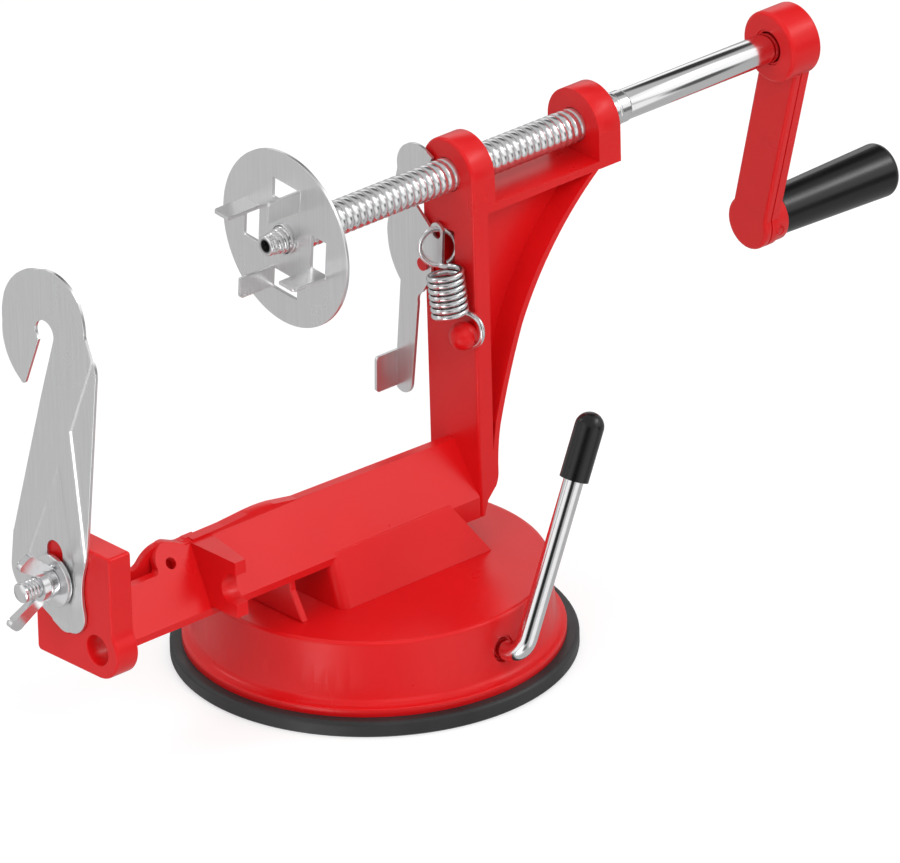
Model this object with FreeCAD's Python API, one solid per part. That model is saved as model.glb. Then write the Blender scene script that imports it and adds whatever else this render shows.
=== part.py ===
import FreeCAD, Part
import os
from math import hypot

# Tornado potato cutter: millimetres, +Z up, the screw runs along +X over the middle of the round base.
# The origin is the middle of the base where the rubber pad stands on the table.

V = FreeCAD.Vector
X_AXIS, Y_AXIS, Z_AXIS = V(1, 0, 0), V(0, 1, 0), V(0, 0, 1)

# ---- fits ----
RUN_FIT = 0.08          # radial running clearance of pins and rods
FREE_GAP = 0.30         # gap kept between bodies that pass each other

# ---- base ----
PAD_R = 60.0
PAD_T = 4.8
PAD_CORE_R = 16.0
PAD_LIFT = 2.0          # how far the lever raises the middle of the pad
CUP_R = 50.0            # hollow under the pad
CUP_T = 1.4
FLANGE_R = 56.4
FLANGE_TOP = 7.4
FOOT_R = 53.5
FOOT_Z = 9.4
SHOULDER_R = 52.2
PLATE_Z = 26.8          # top plate of the bell
WALL = 2.6
LEVER_HOLE_R = 4.0

# ---- suction lever ----
AXLE_X, AXLE_Z = 3.8, 16.3
ROD_R = 3.0
LEVER_Y = -60.5
LEVER_TOP = V(33.6, LEVER_Y, 85.0)
ELBOW_R = 6.0
CAP_R = 4.35
CAP_LEN = 20.4
CAM_R = 5.0
CAM_THROW = 1.7
CAM_HALF = 4.0
LUG_IN, LUG_OUT = 8.0, 11.0
AXLE_END = 14.5
CLIP_Y, CLIP_T = 11.4, 1.0

# ---- frame ----
AXIS_Z = 141.0          # height of the screw
COL_X = 32.6            # front face of the column
COL_HALF = 11.2         # half width of the column and radius of the bearing tops
COL_FOOT_HALF = 10.6    # the column narrows a little towards its foot
COL_T = 5.6
BEARING_T = 8.5
BEARING_SPAN = 40.9     # clear length of the deck between the two bearings
BEARING_1_END = COL_X + BEARING_T + 0.1
BEARING_2 = (BEARING_1_END + BEARING_SPAN, BEARING_1_END + BEARING_SPAN + BEARING_T - 0.1)
DECK_TOP, DECK_T = 132.8, 2.5
WEB_HALF = 3.0
RIB_T = 2.9             # curved rib behind the column's pockets
COL_FOOT_Z = 34.2
BEAM_T = 2.2
LIP_Y, LIP_TOP_Z, LIP_Z = -11.1, 40.7, 38.6
RIDGE_Y, RIDGE_Z = 0.3, 57.2
STRIP_Z = 57.8
HUMP_X, HUMP_Z = -42.0, 58.9
STRIP_END_Z = 56.2
BACK_Y = 4.4
BACK_TAPER = 1.1        # the strip's back edge comes forward this much at the column
TROUGH_LEN = 101.6
SADDLE_LEN = 42.2       # from the end wall to the block
END_WALL_X = COL_X - TROUGH_LEN
BLOCK_T = 8.2
BLOCK_X = END_WALL_X - SADDLE_LEN - BLOCK_T
BLOCK_EDGE = 0.7
BLOCK_Y = (-23.65, 9.8)
BLOCK_Z = (37.2, 77.2)
LOBE_Y, LOBE_Z, LOBE_R, LOBE_HOLE_R = -17.0, 46.2, 8.7, 4.6
TROUGH_FOOT = 10.6      # the lip runs down to the column's foot over this length
EAR_X, EAR_Z, EAR_HOLE_R = END_WALL_X - 9.1, 54.3, 1.8
PED_X = (-27.6, 30.4)
PED_TOP_X, PED_WALL = 19.6, 2.4
GUSSET_X, GUSSET_T = PED_X[0] - 13.2, 2.3
SCREW_X = (-16.0, 18.0)
SCREW_HOLE_R = 1.5
HEAD_R, HEAD_T, SCREW_LEN = 3.0, 1.6, 9.0

# ---- screw, disc and spigot ----
SCREW_R = 5.25
BEARING_BORE_R = SCREW_R + 0.10
DISC_X, DISC_T, DISC_R = -29.9, 1.1, 27.0
DISC_TURN = 5.0         # how far the disc's windows are turned about the screw
THREAD_LEN = 126.6
THREAD_END = DISC_X + DISC_T + THREAD_LEN
NECK_R, NECK_LEN = 4.35, 3.0
SLEEVE_R, SLEEVE_LEN = 4.6, 60.0
END_GAP = 0.4           # the sleeve turns freely between the neck and the crank
SLEEVE_X = (THREAD_END + NECK_LEN + END_GAP, THREAD_END + NECK_LEN + END_GAP + SLEEVE_LEN)
CORE_R = 3.6
PRONG_W, PRONG_LEN, PRONG_EDGE = 6.6, 12.0, 1.3
WINDOW = (-6.0, 6.0, 11.3, 17.6)
SPIGOT_R, SPIGOT_TIP, SPIGOT_TIP_R, SKEWER_R = 4.3, -37.3, 3.1, 1.85
TAIL_R, TAIL_LEN = 3.0, 12.0
NUT_T, NUT_WALL = 1.1, 0.5

# ---- crank ----
BOSS_R, BOSS_LEN = 11.0, 11.6
BOSS_RECESS_R, BOSS_RECESS = SLEEVE_R + 0.9, 2.0
BOSS_X = (SLEEVE_X[1] - 1.5, SLEEVE_X[1] - 1.5 + BOSS_LEN)
SHOULDER_X = BOSS_X[0] + BOSS_RECESS + 0.3
TENON = 4.8
TENON_END = BOSS_X[1] - 3.2
SINK_R, SINK = 3.6, 2.2          # round sink for the head of the crank's screw
CRANK_SCREW_R, CRANK_SCREW_LEN = 1.5, 11.0
ARM_T = 5.8
ARM_X = (BOSS_X[1] - ARM_T, BOSS_X[1])
ARM_SIDE, ARM_DROP = 16.9, 64.7
ARM_END_Y, ARM_END_Z = ARM_SIDE, AXIS_Z - ARM_DROP
ARM_R = 8.4
ARM_HALF = (7.6, 7.1)            # half width of the arm at the boss and at the grip
GROOVE, GROOVE_DEPTH = (2.4, 2.9), 0.4   # thin groove along the arm's sides
ARM_FLOOR = 2.0                  # plastic left in front of the grip's axle
ARM_BOSS_END = ARM_X[1] + 4.0
GRIP_LEN = 45.8
GRIP_X = (ARM_BOSS_END + FREE_GAP, ARM_BOSS_END + FREE_GAP + GRIP_LEN)
GRIP_R = (7.1, 8.4)
GRIP_AXLE_R = 2.5
GRIP_POCKET_R, GRIP_POCKET = 5.0, 5.8
RETAINER_T = 1.0
RIVET_R = 1.6

# ---- latch ----
LATCH_T, LATCH_GAP = 1.0, 0.7
LATCH_X = COL_X - LATCH_GAP - LATCH_T
PIVOT_Y, PIVOT_Z, PIVOT_R, PIVOT_LEN = 9.2, AXIS_Z - 31.0, 1.4, 5.0
PIVOT_HEAD = 0.6
HOOK_Y, HOOK_Z, HOOK_HOLE_R = 3.4, AXIS_Z - 19.3, 1.75
TAB_LEN, TAB_EDGE = 7.9, 1.2     # finger tab folded off the plate's free end
WINDOW_DEPTH = 5.0
POST_X, POST_Y, POST_Z, POST_R = COL_X - 3.3, -9.1, AXIS_Z - 47.6, 4.2
POST_PIN_R, POST_PIN = 2.0, 4.4
COIL_R, WIRE_R = 5.7, 0.65
COIL_X = COL_X - 6.2
COIL_TOP = V(COIL_X, -4.98, AXIS_Z - 26.5)
COIL_LOW = V(COIL_X, -7.29, AXIS_Z - 41.8)
EYE_R = 5.6

# ---- blade clamp ----
BLADE_T = 1.0
BLADE_X = BLOCK_X - 0.2 - BLADE_T
BOLT_Y, BOLT_Z, BOLT_R = -0.6, 63.5, 3.0
BOLT_TIP = BLOCK_X - 14.4
BOLT_HEAD_R, BOLT_HEAD = 5.2, 3.4
WASHER_R, WASHER_T = 8.0, 1.5
WASHER_X = BLADE_X - 0.2 - WASHER_T
WING_T = 2.0
SLOT_HALF = 3.4
SLOT_DOWN, SLOT_UP = 4.3, 8.8   # from the bolt to the middles of the slot's round ends


# ---- drawing helpers ----
def path(points, put):
    """Closed outline; a point is (a, b), an arc is (mid_a, mid_b, end_a, end_b)."""
    edges = []
    first = put(*points[0])
    last = first
    for step in points[1:]:
        if len(step) == 2:
            end = put(*step)
            edges.append(Part.makeLine(last, end))
        else:
            end = put(*step[2:])
            edges.append(Part.Arc(last, put(*step[:2]), end).toShape())
        last = end
    if (last - first).Length > 1e-6:
        edges.append(Part.makeLine(last, first))
    return Part.Face(Part.Wire(edges))


def along_x(points, x0, x1):
    return path(points, lambda y, z: V(x0, y, z)).extrude(V(x1 - x0, 0, 0))


def along_y(points, y0, y1):
    return path(points, lambda x, z: V(x, y0, z)).extrude(V(0, y1 - y0, 0))


def turned(points):
    """Solid of revolution about +Z from an (r, z) outline."""
    return path(points, lambda r, z: V(r, 0, z)).revolve(V(), Z_AXIS, 360)


def rod(a, b, r):
    return Part.makeCylinder(r, (b - a).Length, a, b - a)


def rod_x(x0, x1, r, y=0.0, z=AXIS_Z):
    return Part.makeCylinder(r, x1 - x0, V(x0, y, z), X_AXIS)


def rod_y(y0, y1, r, x, z):
    return Part.makeCylinder(r, y1 - y0, V(x, y0, z), Y_AXIS)


def rod_z(z0, z1, r, x=0.0, y=0.0):
    return Part.makeCylinder(r, z1 - z0, V(x, y, z0), Z_AXIS)


def ring(center, normal, big_r, wire_r):
    return Part.makeTorus(big_r, wire_r, center, normal)


def box(x, y, z):
    return Part.makeBox(x[1] - x[0], y[1] - y[0], z[1] - z[0], V(x[0], y[0], z[0]))


def fuse(shapes):
    out = shapes[0]
    for shape in shapes[1:]:
        out = out.fuse(shape)
    return out.removeSplitter()


def soften(shape, r, pick):
    """Round the edges that pick() accepts, one after another if they will not go together."""
    edges = [e for e in shape.Edges if pick(e)]
    try:
        out = shape.makeFillet(r, edges)
        if out.isValid() and out.Volume > 0:
            return out
    except Exception:
        pass
    for edge in edges:
        near = edge.CenterOfMass
        found = [e for e in shape.Edges if (e.CenterOfMass - near).Length < 1e-4]
        try:
            out = shape.makeFillet(r, found[:1])
            if out.isValid() and out.Volume > 0:
                shape = out
        except Exception:
            continue
    return shape


# ---- base group ----
def base_bell():
    inner = SHOULDER_R - WALL
    outside = [(0, PAD_T), (FLANGE_R, PAD_T), (FLANGE_R, FLANGE_TOP - 0.5),
               (FLANGE_R - 0.15, FLANGE_TOP - 0.15, FLANGE_R - 0.5, FLANGE_TOP),
               (FOOT_R + 1.2, FLANGE_TOP + 0.5, FOOT_R, FOOT_Z),
               (SHOULDER_R, PLATE_Z - 1.2),
               (SHOULDER_R - 0.35, PLATE_Z - 0.35, SHOULDER_R - 1.2, PLATE_Z), (0, PLATE_Z)]
    hollow = [(0, PAD_T - 1), (inner + 1, PAD_T - 1), (inner, PLATE_Z - WALL), (0, PLATE_Z - WALL)]
    bell = turned(outside).cut(turned(hollow))
    lug = [(AXLE_X - 7, PLATE_Z - 1), (AXLE_X - 6, AXLE_Z), (AXLE_X, AXLE_Z - 6, AXLE_X + 6, AXLE_Z),
           (AXLE_X + 7, PLATE_Z - 1)]
    lugs = [along_y(lug, s * LUG_IN, s * LUG_OUT) for s in (-1, 1)]
    ribs = []
    for angle in (0, 45, 135, 180, 225, 315):
        rib = box((28, inner + 0.5), (-0.9, 0.9), (PLATE_Z - WALL - 4, PLATE_Z - 1))
        rib.rotate(V(), Z_AXIS, angle)
        ribs.append(rib)
    bell = fuse([bell] + lugs + ribs)
    holes = [rod_y(-SHOULDER_R - 5, -SHOULDER_R + 8, LEVER_HOLE_R, AXLE_X, AXLE_Z),
             rod_y(-LUG_OUT - 1, LUG_OUT + 1, ROD_R + RUN_FIT, AXLE_X, AXLE_Z)]
    holes += [rod_z(PLATE_Z - WALL - 1, PLATE_Z + 1, 1.7, x) for x in SCREW_X]
    for hole in holes:
        bell = bell.cut(hole)
    return bell


def suction_pad():
    pad = turned([(PAD_CORE_R + FREE_GAP, CUP_T), (CUP_R - 2, CUP_T), (CUP_R + 1, 0), (PAD_R - 0.5, 0),
                  (PAD_R, 0.5), (PAD_R, PAD_T - 1.2), (PAD_R - 0.4, PAD_T - 0.4, PAD_R - 1.2, PAD_T),
                  (PAD_CORE_R + FREE_GAP, PAD_T)])
    return pad


def stud_flange():
    return rod_z(2.6, 3.8, 8.0)


def pad_core():
    core = turned([(0, CUP_T), (PAD_CORE_R, CUP_T), (PAD_CORE_R, PAD_T - 0.6), (PAD_CORE_R - 0.6, PAD_T),
                   (0, PAD_T)])
    return core.cut(stud_flange()).cut(rod_z(3, PAD_T + 1, 3.0))


def pull_stud():
    low = AXLE_Z - CAM_THROW - CAM_R
    top = AXLE_Z - CAM_THROW + CAM_R + FREE_GAP
    half = CAM_R + CAM_THROW + FREE_GAP
    yoke = box((AXLE_X - half - 2, AXLE_X + half + 2), (-3, 3), (low - 2.8, top + 1.8))
    yoke = yoke.cut(box((AXLE_X - half, AXLE_X + half), (-4, 4), (low - 0.8, top)))
    return fuse([yoke, rod_z(3.2, low - 2, 3.0), stud_flange()])


def lever_direction():
    d = LEVER_TOP - V(AXLE_X, LEVER_Y, AXLE_Z)
    d.normalize()
    return d


def lever_rod():
    up = lever_direction()
    corner = V(AXLE_X, LEVER_Y, AXLE_Z)
    start = V(AXLE_X, AXLE_END, AXLE_Z)
    a = corner + Y_AXIS * ELBOW_R
    b = corner + up * ELBOW_R
    mid = corner + (Y_AXIS + up) * (ELBOW_R * (1 - 0.5 ** 0.5))
    spine = Part.Wire([Part.makeLine(start, a), Part.Arc(a, mid, b).toShape(),
                       Part.makeLine(b, LEVER_TOP - up * 2.0)])
    section = Part.Wire(Part.makeCircle(ROD_R, start, Y_AXIS))
    bent = spine.makePipeShell([section], True, False)
    groove = rod_y(CLIP_Y, CLIP_Y + CLIP_T, ROD_R + 1, AXLE_X, AXLE_Z)
    groove = groove.cut(rod_y(CLIP_Y - 1, CLIP_Y + CLIP_T + 1, ROD_R - 0.6, AXLE_X, AXLE_Z))
    return bent.cut(groove)


def lever_cam():
    cam = rod_y(-CAM_HALF, CAM_HALF, CAM_R, AXLE_X, AXLE_Z - CAM_THROW)
    return cam.cut(rod_y(-CAM_HALF - 1, CAM_HALF + 1, ROD_R, AXLE_X, AXLE_Z))


def lever_cap():
    up = lever_direction()
    tip = LEVER_TOP - up * CAP_R
    foot = LEVER_TOP - up * CAP_LEN
    cap = fuse([rod(foot, tip, CAP_R), Part.makeSphere(CAP_R, tip)])
    return cap.cut(rod(foot - up, LEVER_TOP - up * 2.0, ROD_R))


def axle_clip():
    clip = rod_y(CLIP_Y, CLIP_Y + CLIP_T, ROD_R + 1.8, AXLE_X, AXLE_Z)
    clip = clip.cut(rod_y(CLIP_Y - 1, CLIP_Y + CLIP_T + 1, ROD_R - 0.6, AXLE_X, AXLE_Z))
    mouth = box((AXLE_X - 1.6, AXLE_X + 1.6), (CLIP_Y - 1, CLIP_Y + CLIP_T + 1), (AXLE_Z - 9, AXLE_Z))
    return clip.cut(mouth)


def frame_screws():
    made = []
    for x in SCREW_X:
        head = rod_z(PLATE_Z - WALL - HEAD_T, PLATE_Z - WALL, HEAD_R, x)
        shank = rod_z(PLATE_Z - WALL - 0.5, PLATE_Z + SCREW_LEN, SCREW_HOLE_R, x)
        made.append(head.fuse(shank).removeSplitter())
    return Part.makeCompound(made)


# ---- frame ----
def panel_z(y):
    """Height of the sloping panel's outer face at y."""
    return LIP_TOP_Z + (y - LIP_Y) * (RIDGE_Z - LIP_TOP_Z) / (RIDGE_Y - LIP_Y)


def panel_normal():
    run, rise = RIDGE_Y - LIP_Y, RIDGE_Z - LIP_TOP_Z
    size = hypot(run, rise)
    return rise / size, run / size


def panel_strip(top_z):
    """Sheet of the panel in (y, z), from the lip up to top_z, one wall thick."""
    ny, nz = panel_normal()
    slope = (RIDGE_Y - LIP_Y) / (RIDGE_Z - LIP_TOP_Z)
    top_y = LIP_Y + (top_z - LIP_TOP_Z) * slope
    inner = (LIP_Y + ny * BEAM_T, LIP_TOP_Z - nz * BEAM_T)
    lip_in = LIP_Y + BEAM_T
    knee_z = inner[1] + (lip_in - inner[0]) / slope
    return [(LIP_Y, LIP_Z), (LIP_Y, LIP_TOP_Z), (top_y, top_z),
            (top_y + ny * BEAM_T, top_z - nz * BEAM_T), (lip_in, knee_z), (lip_in, LIP_Z)]


def trough():
    """The long sloping trough between the end wall and the column."""
    ny, nz = panel_normal()
    slope = (RIDGE_Y - LIP_Y) / (RIDGE_Z - LIP_TOP_Z)
    outer = [(LIP_Y, LIP_Z), (LIP_Y, LIP_TOP_Z), (RIDGE_Y - 0.2, RIDGE_Z - 0.3), (RIDGE_Y - 0.2, HUMP_Z + 1),
             (BACK_Y, HUMP_Z + 1), (BACK_Y, LIP_Z)]
    lip_in = LIP_Y + BEAM_T
    knee_z = LIP_TOP_Z - nz * BEAM_T + (lip_in - LIP_Y - ny * BEAM_T) / slope
    peak_z = knee_z + (BACK_Y - BEAM_T - 0.8 - lip_in) / slope
    inner = [(lip_in, LIP_Z - 1), (lip_in, knee_z), (BACK_Y - BEAM_T - 0.8, peak_z),
             (BACK_Y - BEAM_T, peak_z), (BACK_Y - BEAM_T, LIP_Z - 1)]
    beam = along_x(outer, END_WALL_X + 1, COL_X).cut(along_x(inner, END_WALL_X, COL_X + 2))
    top = [(END_WALL_X, STRIP_Z), (HUMP_X - 14, STRIP_Z + 0.2), (HUMP_X - 5, HUMP_Z - 0.2),
           (HUMP_X, HUMP_Z, HUMP_X + 5, HUMP_Z - 0.3),
           (HUMP_X + 14, STRIP_END_Z + 0.9), (COL_X + 2, STRIP_END_Z), (COL_X + 2, HUMP_Z + 3),
           (END_WALL_X, HUMP_Z + 3)]
    beam = beam.cut(along_y(top, RIDGE_Y - 2, BACK_Y + 2))
    taper = Part.makePolygon([V(END_WALL_X, BACK_Y, 0), V(COL_X + 2, BACK_Y - BACK_TAPER, 0),
                              V(COL_X + 2, BACK_Y + 2, 0), V(END_WALL_X, BACK_Y + 2, 0), V(END_WALL_X, BACK_Y, 0)])
    beam = beam.cut(Part.Face(taper).extrude(V(0, 0, HUMP_Z + 9)))
    beam = soften(beam, 1.0, lambda e: e.BoundBox.YMin > BACK_Y - BACK_TAPER - 0.2 and e.BoundBox.ZMin > 56 and
                  e.BoundBox.XLength > 5)
    foot = box((COL_X - TROUGH_FOOT, COL_X), (LIP_Y, LIP_Y + BEAM_T), (COL_FOOT_Z, LIP_Z + 1))
    return fuse([beam, foot])


def eared_saddle():
    """The part of the beam between the block and the end wall, with its two eared cheeks."""
    x0, x1 = BLOCK_X + BLOCK_T, END_WALL_X + 4
    w, ear = END_WALL_X, EAR_X
    front = along_x(panel_strip(61.0), x0, x1)
    front_side = [(x0, 30), (x0, 52.8), (ear - 7.1, 52.8), (ear - 5.6, 53.2, ear - 5.1, 54.6),
                  (ear - 3.2, 58.1, ear + 1.5, 59.4), (ear + 3.8, 58.6, ear + 5.8, 57.8),
                  (w - 1.5, 57.4, w + 0.5, RIDGE_Z), (x1, RIDGE_Z), (x1, 30)]
    front = front.common(along_y(front_side, LIP_Y - 5, BACK_Y + 5))
    ny, nz = panel_normal()
    center = V(EAR_X, LIP_Y + (EAR_Z - LIP_TOP_Z) * (RIDGE_Y - LIP_Y) / (RIDGE_Z - LIP_TOP_Z), EAR_Z)
    way = V(0, ny, -nz)
    front = front.cut(rod(center - way * 4, center + way * 5, EAR_HOLE_R))
    back_side = [(x0, LIP_Z), (x0, 54.2), (ear - 11.9, 54.2), (ear - 9.5, 54.6, ear - 7.9, 55.9),
                 (ear - 4.8, 58.3, ear - 0.3, 59.3), (ear + 2.5, 58.9, ear + 4.5, 58.1),
                 (w - 2.6, 57.6, w, STRIP_Z), (x1, STRIP_Z), (x1, LIP_Z)]
    back = along_y(back_side, BACK_Y - BEAM_T, BACK_Y)
    ridge = along_x([(-1.0, 53.5), (RIDGE_Y - 0.2, 55.5), (RIDGE_Y - 0.2, RIDGE_Z), (RIDGE_Y + 1.5, STRIP_Z - 0.2),
                     (BACK_Y, STRIP_Z - 0.2), (BACK_Y, 54)], w - 2, x1)
    return fuse([front, back, ridge])


def end_wall():
    """Wall at the trough's end; it leans, thins towards its free edge and has an open round notch."""
    top_z, low_z = RIDGE_Z, 41.4
    top = [V(END_WALL_X, 1.0, top_z), V(END_WALL_X + 0.2, -19.2, top_z),
           V(END_WALL_X + 4.1, -19.2, top_z), V(END_WALL_X + 8.2, 1.0, top_z)]
    low = [V(END_WALL_X - 2.3, 1.0, low_z), V(END_WALL_X - 2.1, -22.2, low_z),
           V(END_WALL_X + 2.2, -22.2, low_z), V(END_WALL_X + 8.2, 1.0, low_z)]
    wires = [Part.makePolygon(w + w[:1]) for w in (low, top)]
    wall = Part.makeLoft(wires, True, True)
    notch_z = 49.3
    notch = along_x([(-30, notch_z + 4.2), (-18.6, notch_z + 4.2), (-14.4, notch_z, -18.6, notch_z - 4.2),
                     (-30, notch_z - 4.2)], END_WALL_X - 6, END_WALL_X + 12)
    wall = wall.cut(notch)
    beam_room = along_x([(LIP_Y, 30), (LIP_Y, LIP_TOP_Z), (RIDGE_Y, RIDGE_Z), (BACK_Y, RIDGE_Z + 3),
                         (BACK_Y, 30)], END_WALL_X - 8, END_WALL_X + 12)
    return wall.cut(beam_room)


def pedestal_form(inset, z0):
    """Outside of the pedestal, or with an inset the room inside it."""
    top = LIP_TOP_Z + 1.1
    ends = [(LIP_Y - 7.1 + inset, z0), (LIP_Y - 0.25 + inset, LIP_TOP_Z - 0.3 - inset * 0.5),
            (LIP_Y + 0.5 + inset, top - inset), (BACK_Y - inset, top + 1 - inset), (16.0 - inset, z0)]
    side = [(PED_X[0] + inset, z0), (PED_X[0] + 2.7 + inset, top + 3), (PED_TOP_X - inset, top + 3),
            (PED_X[1] - inset * 1.2, z0)]
    form = along_x(ends, PED_X[0] - 1, PED_X[1] + 1).common(along_y(side, -30, 30))
    if inset:
        return form
    return soften(form, 3.2, lambda e: e.BoundBox.ZLength > 8 and e.BoundBox.XMax < 0 and e.BoundBox.YMax < -5)


def frame_foot():
    """Hollow pedestal that stands on the bell, with two screw bosses."""
    shell = pedestal_form(0.0, PLATE_Z).cut(pedestal_form(PED_WALL, PLATE_Z - 0.5))
    bosses = [rod_z(PLATE_Z, LIP_TOP_Z - 1.5, SCREW_HOLE_R + 2.7, x) for x in SCREW_X]
    body = fuse([shell] + bosses)
    for x in SCREW_X:
        body = body.cut(rod_z(PLATE_Z - 1, PLATE_Z + SCREW_LEN + 0.2, SCREW_HOLE_R, x))
    return body


def frame_gusset():
    """Thin upright rib under the trough, left of the pedestal."""
    sheet = along_x([(LIP_Y - 4.6, PLATE_Z), (LIP_Y + 0.5, LIP_Z - 3.2), (LIP_Y + 1.1, LIP_TOP_Z - 1.2),
                    (BACK_Y - 1, 50.0), (BACK_Y - 1, LIP_Z - 1.6), (14.0, PLATE_Z)],
                    GUSSET_X, GUSSET_X + GUSSET_T)
    return sheet.cut(frame_trough())


def frame_block():
    """Upright block that carries the blade, with its lower lobe."""
    y0, y1 = BLOCK_Y
    z0, z1 = BLOCK_Z
    outline = [(y0 + 1.0, z1), (y1 - 1.0, z1), (y1 - 0.3, z1 - 0.3, y1, z1 - 1.0), (y1, z0 + 1.5),
               (y1 - 0.45, z0 + 0.45, y1 - 1.5, z0), (LOBE_Y, LOBE_Z - LOBE_R),
               (LOBE_Y - LOBE_R, LOBE_Z, LOBE_Y - LOBE_R * 0.84, LOBE_Z + LOBE_R * 0.54),
               (y0 - 0.15, 52.6, y0, 55.0), (y0, z1 - 1.0), (y0 + 0.3, z1 - 0.3, y0 + 1.0, z1)]
    body = along_x(outline, BLOCK_X, BLOCK_X + BLOCK_T)
    body = soften(body, BLOCK_EDGE, lambda e: e.BoundBox.XLength < 0.01)
    body = body.cut(rod_x(BLOCK_X - 1, BLOCK_X + BLOCK_T + 1, LOBE_HOLE_R, LOBE_Y, LOBE_Z))
    body = body.cut(rod_x(BLOCK_X - 1, BLOCK_X + BLOCK_T + 1, BOLT_R, BOLT_Y, BOLT_Z))
    return body


def column():
    """Column plate, curved rib, web, deck and the two bearings."""
    arch = [(-COL_HALF, DECK_TOP - DECK_T), (-COL_HALF, AXIS_Z), (0, AXIS_Z + COL_HALF, COL_HALF, AXIS_Z),
            (COL_HALF, DECK_TOP - DECK_T)]
    tall = [(-COL_HALF, COL_FOOT_Z), (-COL_HALF, AXIS_Z), (0, AXIS_Z + COL_HALF, COL_HALF, AXIS_Z),
            (COL_FOOT_HALF, COL_FOOT_Z)]
    c, a = COL_X, AXIS_Z
    heel = [(c + 6.4, a - 98.6), (c + 3.2, a - 102.1), (c + 1.3, COL_FOOT_Z)]
    back = [(BEARING_2[0], DECK_TOP - 2.1), (c + 32.0, a - 27.4, c + 18.0, a - 50.0),
            (c + 12.7, a - 65.0, c + 8.6, a - 79.6), (c + 7.6, a - 87.0, c + 7.4, a - 93.8),
            heel[0] + heel[1], heel[2]]
    under_deck = DECK_TOP - DECK_T
    inner = [(BEARING_2[0] - RIB_T, under_deck), (c + 30.4, a - 26.2, c + 16.2, a - 49.1),
             (c + 10.8, a - 64.5, c + 6.8, a - 78.5), (c + COL_T, a - 87.0), (c + COL_T, under_deck)]
    side = along_y([(COL_X, DECK_TOP)] + [(BEARING_2[0], DECK_TOP)] + back + [(COL_X, COL_FOOT_Z)],
                   -COL_HALF, COL_HALF)
    pockets = [along_y(inner, WEB_HALF, COL_HALF + 1), along_y(inner, -COL_HALF - 1, -WEB_HALF)]
    for pocket in pockets:
        side = side.cut(pocket)
    front = along_x(tall, COL_X, COL_X + COL_T)
    draft = along_x([(COL_FOOT_HALF, COL_FOOT_Z - 1), (COL_HALF, AXIS_Z), (COL_HALF + 3, AXIS_Z),
                     (COL_HALF + 3, COL_FOOT_Z - 1)], COL_X - 1, COL_X + COL_T + 4)
    bearings = [along_x(arch, COL_X, BEARING_1_END), along_x(arch, BEARING_2[0], BEARING_2[1])]
    foot_room = along_y([(heel[2][0], COL_FOOT_Z - 1), heel[1], heel[0], (c + COL_T + 3, heel[0][1]),
                         (c + COL_T + 3, COL_FOOT_Z - 1)], -COL_HALF - 1, COL_HALF + 1)
    out = fuse([side, front] + bearings).cut(foot_room).cut(draft)
    out = soften(out, 1.0, lambda e: e.BoundBox.XMax < COL_X + 0.1 and abs(e.BoundBox.YMin + COL_HALF) < 0.1
                 and e.BoundBox.YLength < 0.1 and e.BoundBox.ZLength > 20)
    out = soften(out, 1.4, lambda e: e.Curve.TypeId == "Part::GeomCircle" and e.BoundBox.ZMax > AXIS_Z + 8
                 and abs(e.BoundBox.XMin - COL_X) < 0.1)
    return out


def frame_column():
    """Column with its bearings, bored for the screw, the latch's pivot and the spring's post."""
    body = column()
    cuts = [rod_x(COL_X - 1, BEARING_2[1] + 1, BEARING_BORE_R),
            rod_x(COL_X - 1, COL_X + PIVOT_LEN, PIVOT_R, PIVOT_Y, PIVOT_Z),
            rod_x(COL_X - 1, COL_X + POST_PIN, POST_PIN_R, POST_Y, POST_Z),
            box((COL_X - 1, COL_X + WINDOW_DEPTH), (-2.6, 4.6), (AXIS_Z - 32.8, AXIS_Z - 17.5))]
    for shape in cuts:
        body = body.cut(shape)
    return body.removeSplitter()


def frame_trough():
    """Trough, saddle and end wall, which rest on the pedestal and end at the block and the column."""
    body = fuse([trough(), eared_saddle(), end_wall()])
    return body.cut(pedestal_form(0.0, PLATE_Z)).cut(column()).removeSplitter()


# ---- spindle group ----
def square(x0, x1):
    """The square end of the screw that drives the crank."""
    half = TENON / 2
    return box((x0, x1), (-half, half), (AXIS_Z - half, AXIS_Z + half))


def lead_screw():
    face = DISC_X + DISC_T
    chamfer = 0.8
    body = fuse([Part.makeCone(SCREW_R - chamfer, SCREW_R, chamfer, V(face, 0, AXIS_Z), X_AXIS),
                 rod_x(face + chamfer, THREAD_END, SCREW_R),
                 rod_x(THREAD_END, THREAD_END + NECK_LEN, NECK_R),
                 rod_x(THREAD_END + NECK_LEN, SHOULDER_X, CORE_R),
                 square(SHOULDER_X, TENON_END)])
    body = body.cut(rod_x(face - 1, face + TAIL_LEN, TAIL_R))
    return body.cut(rod_x(BOSS_X[1] - CRANK_SCREW_LEN - 1, BOSS_X[1], CRANK_SCREW_R))


def spacer_sleeve():
    return rod_x(SLEEVE_X[0], SLEEVE_X[1], SLEEVE_R).cut(rod_x(SLEEVE_X[0] - 1, SLEEVE_X[1] + 1, CORE_R + RUN_FIT))


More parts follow.
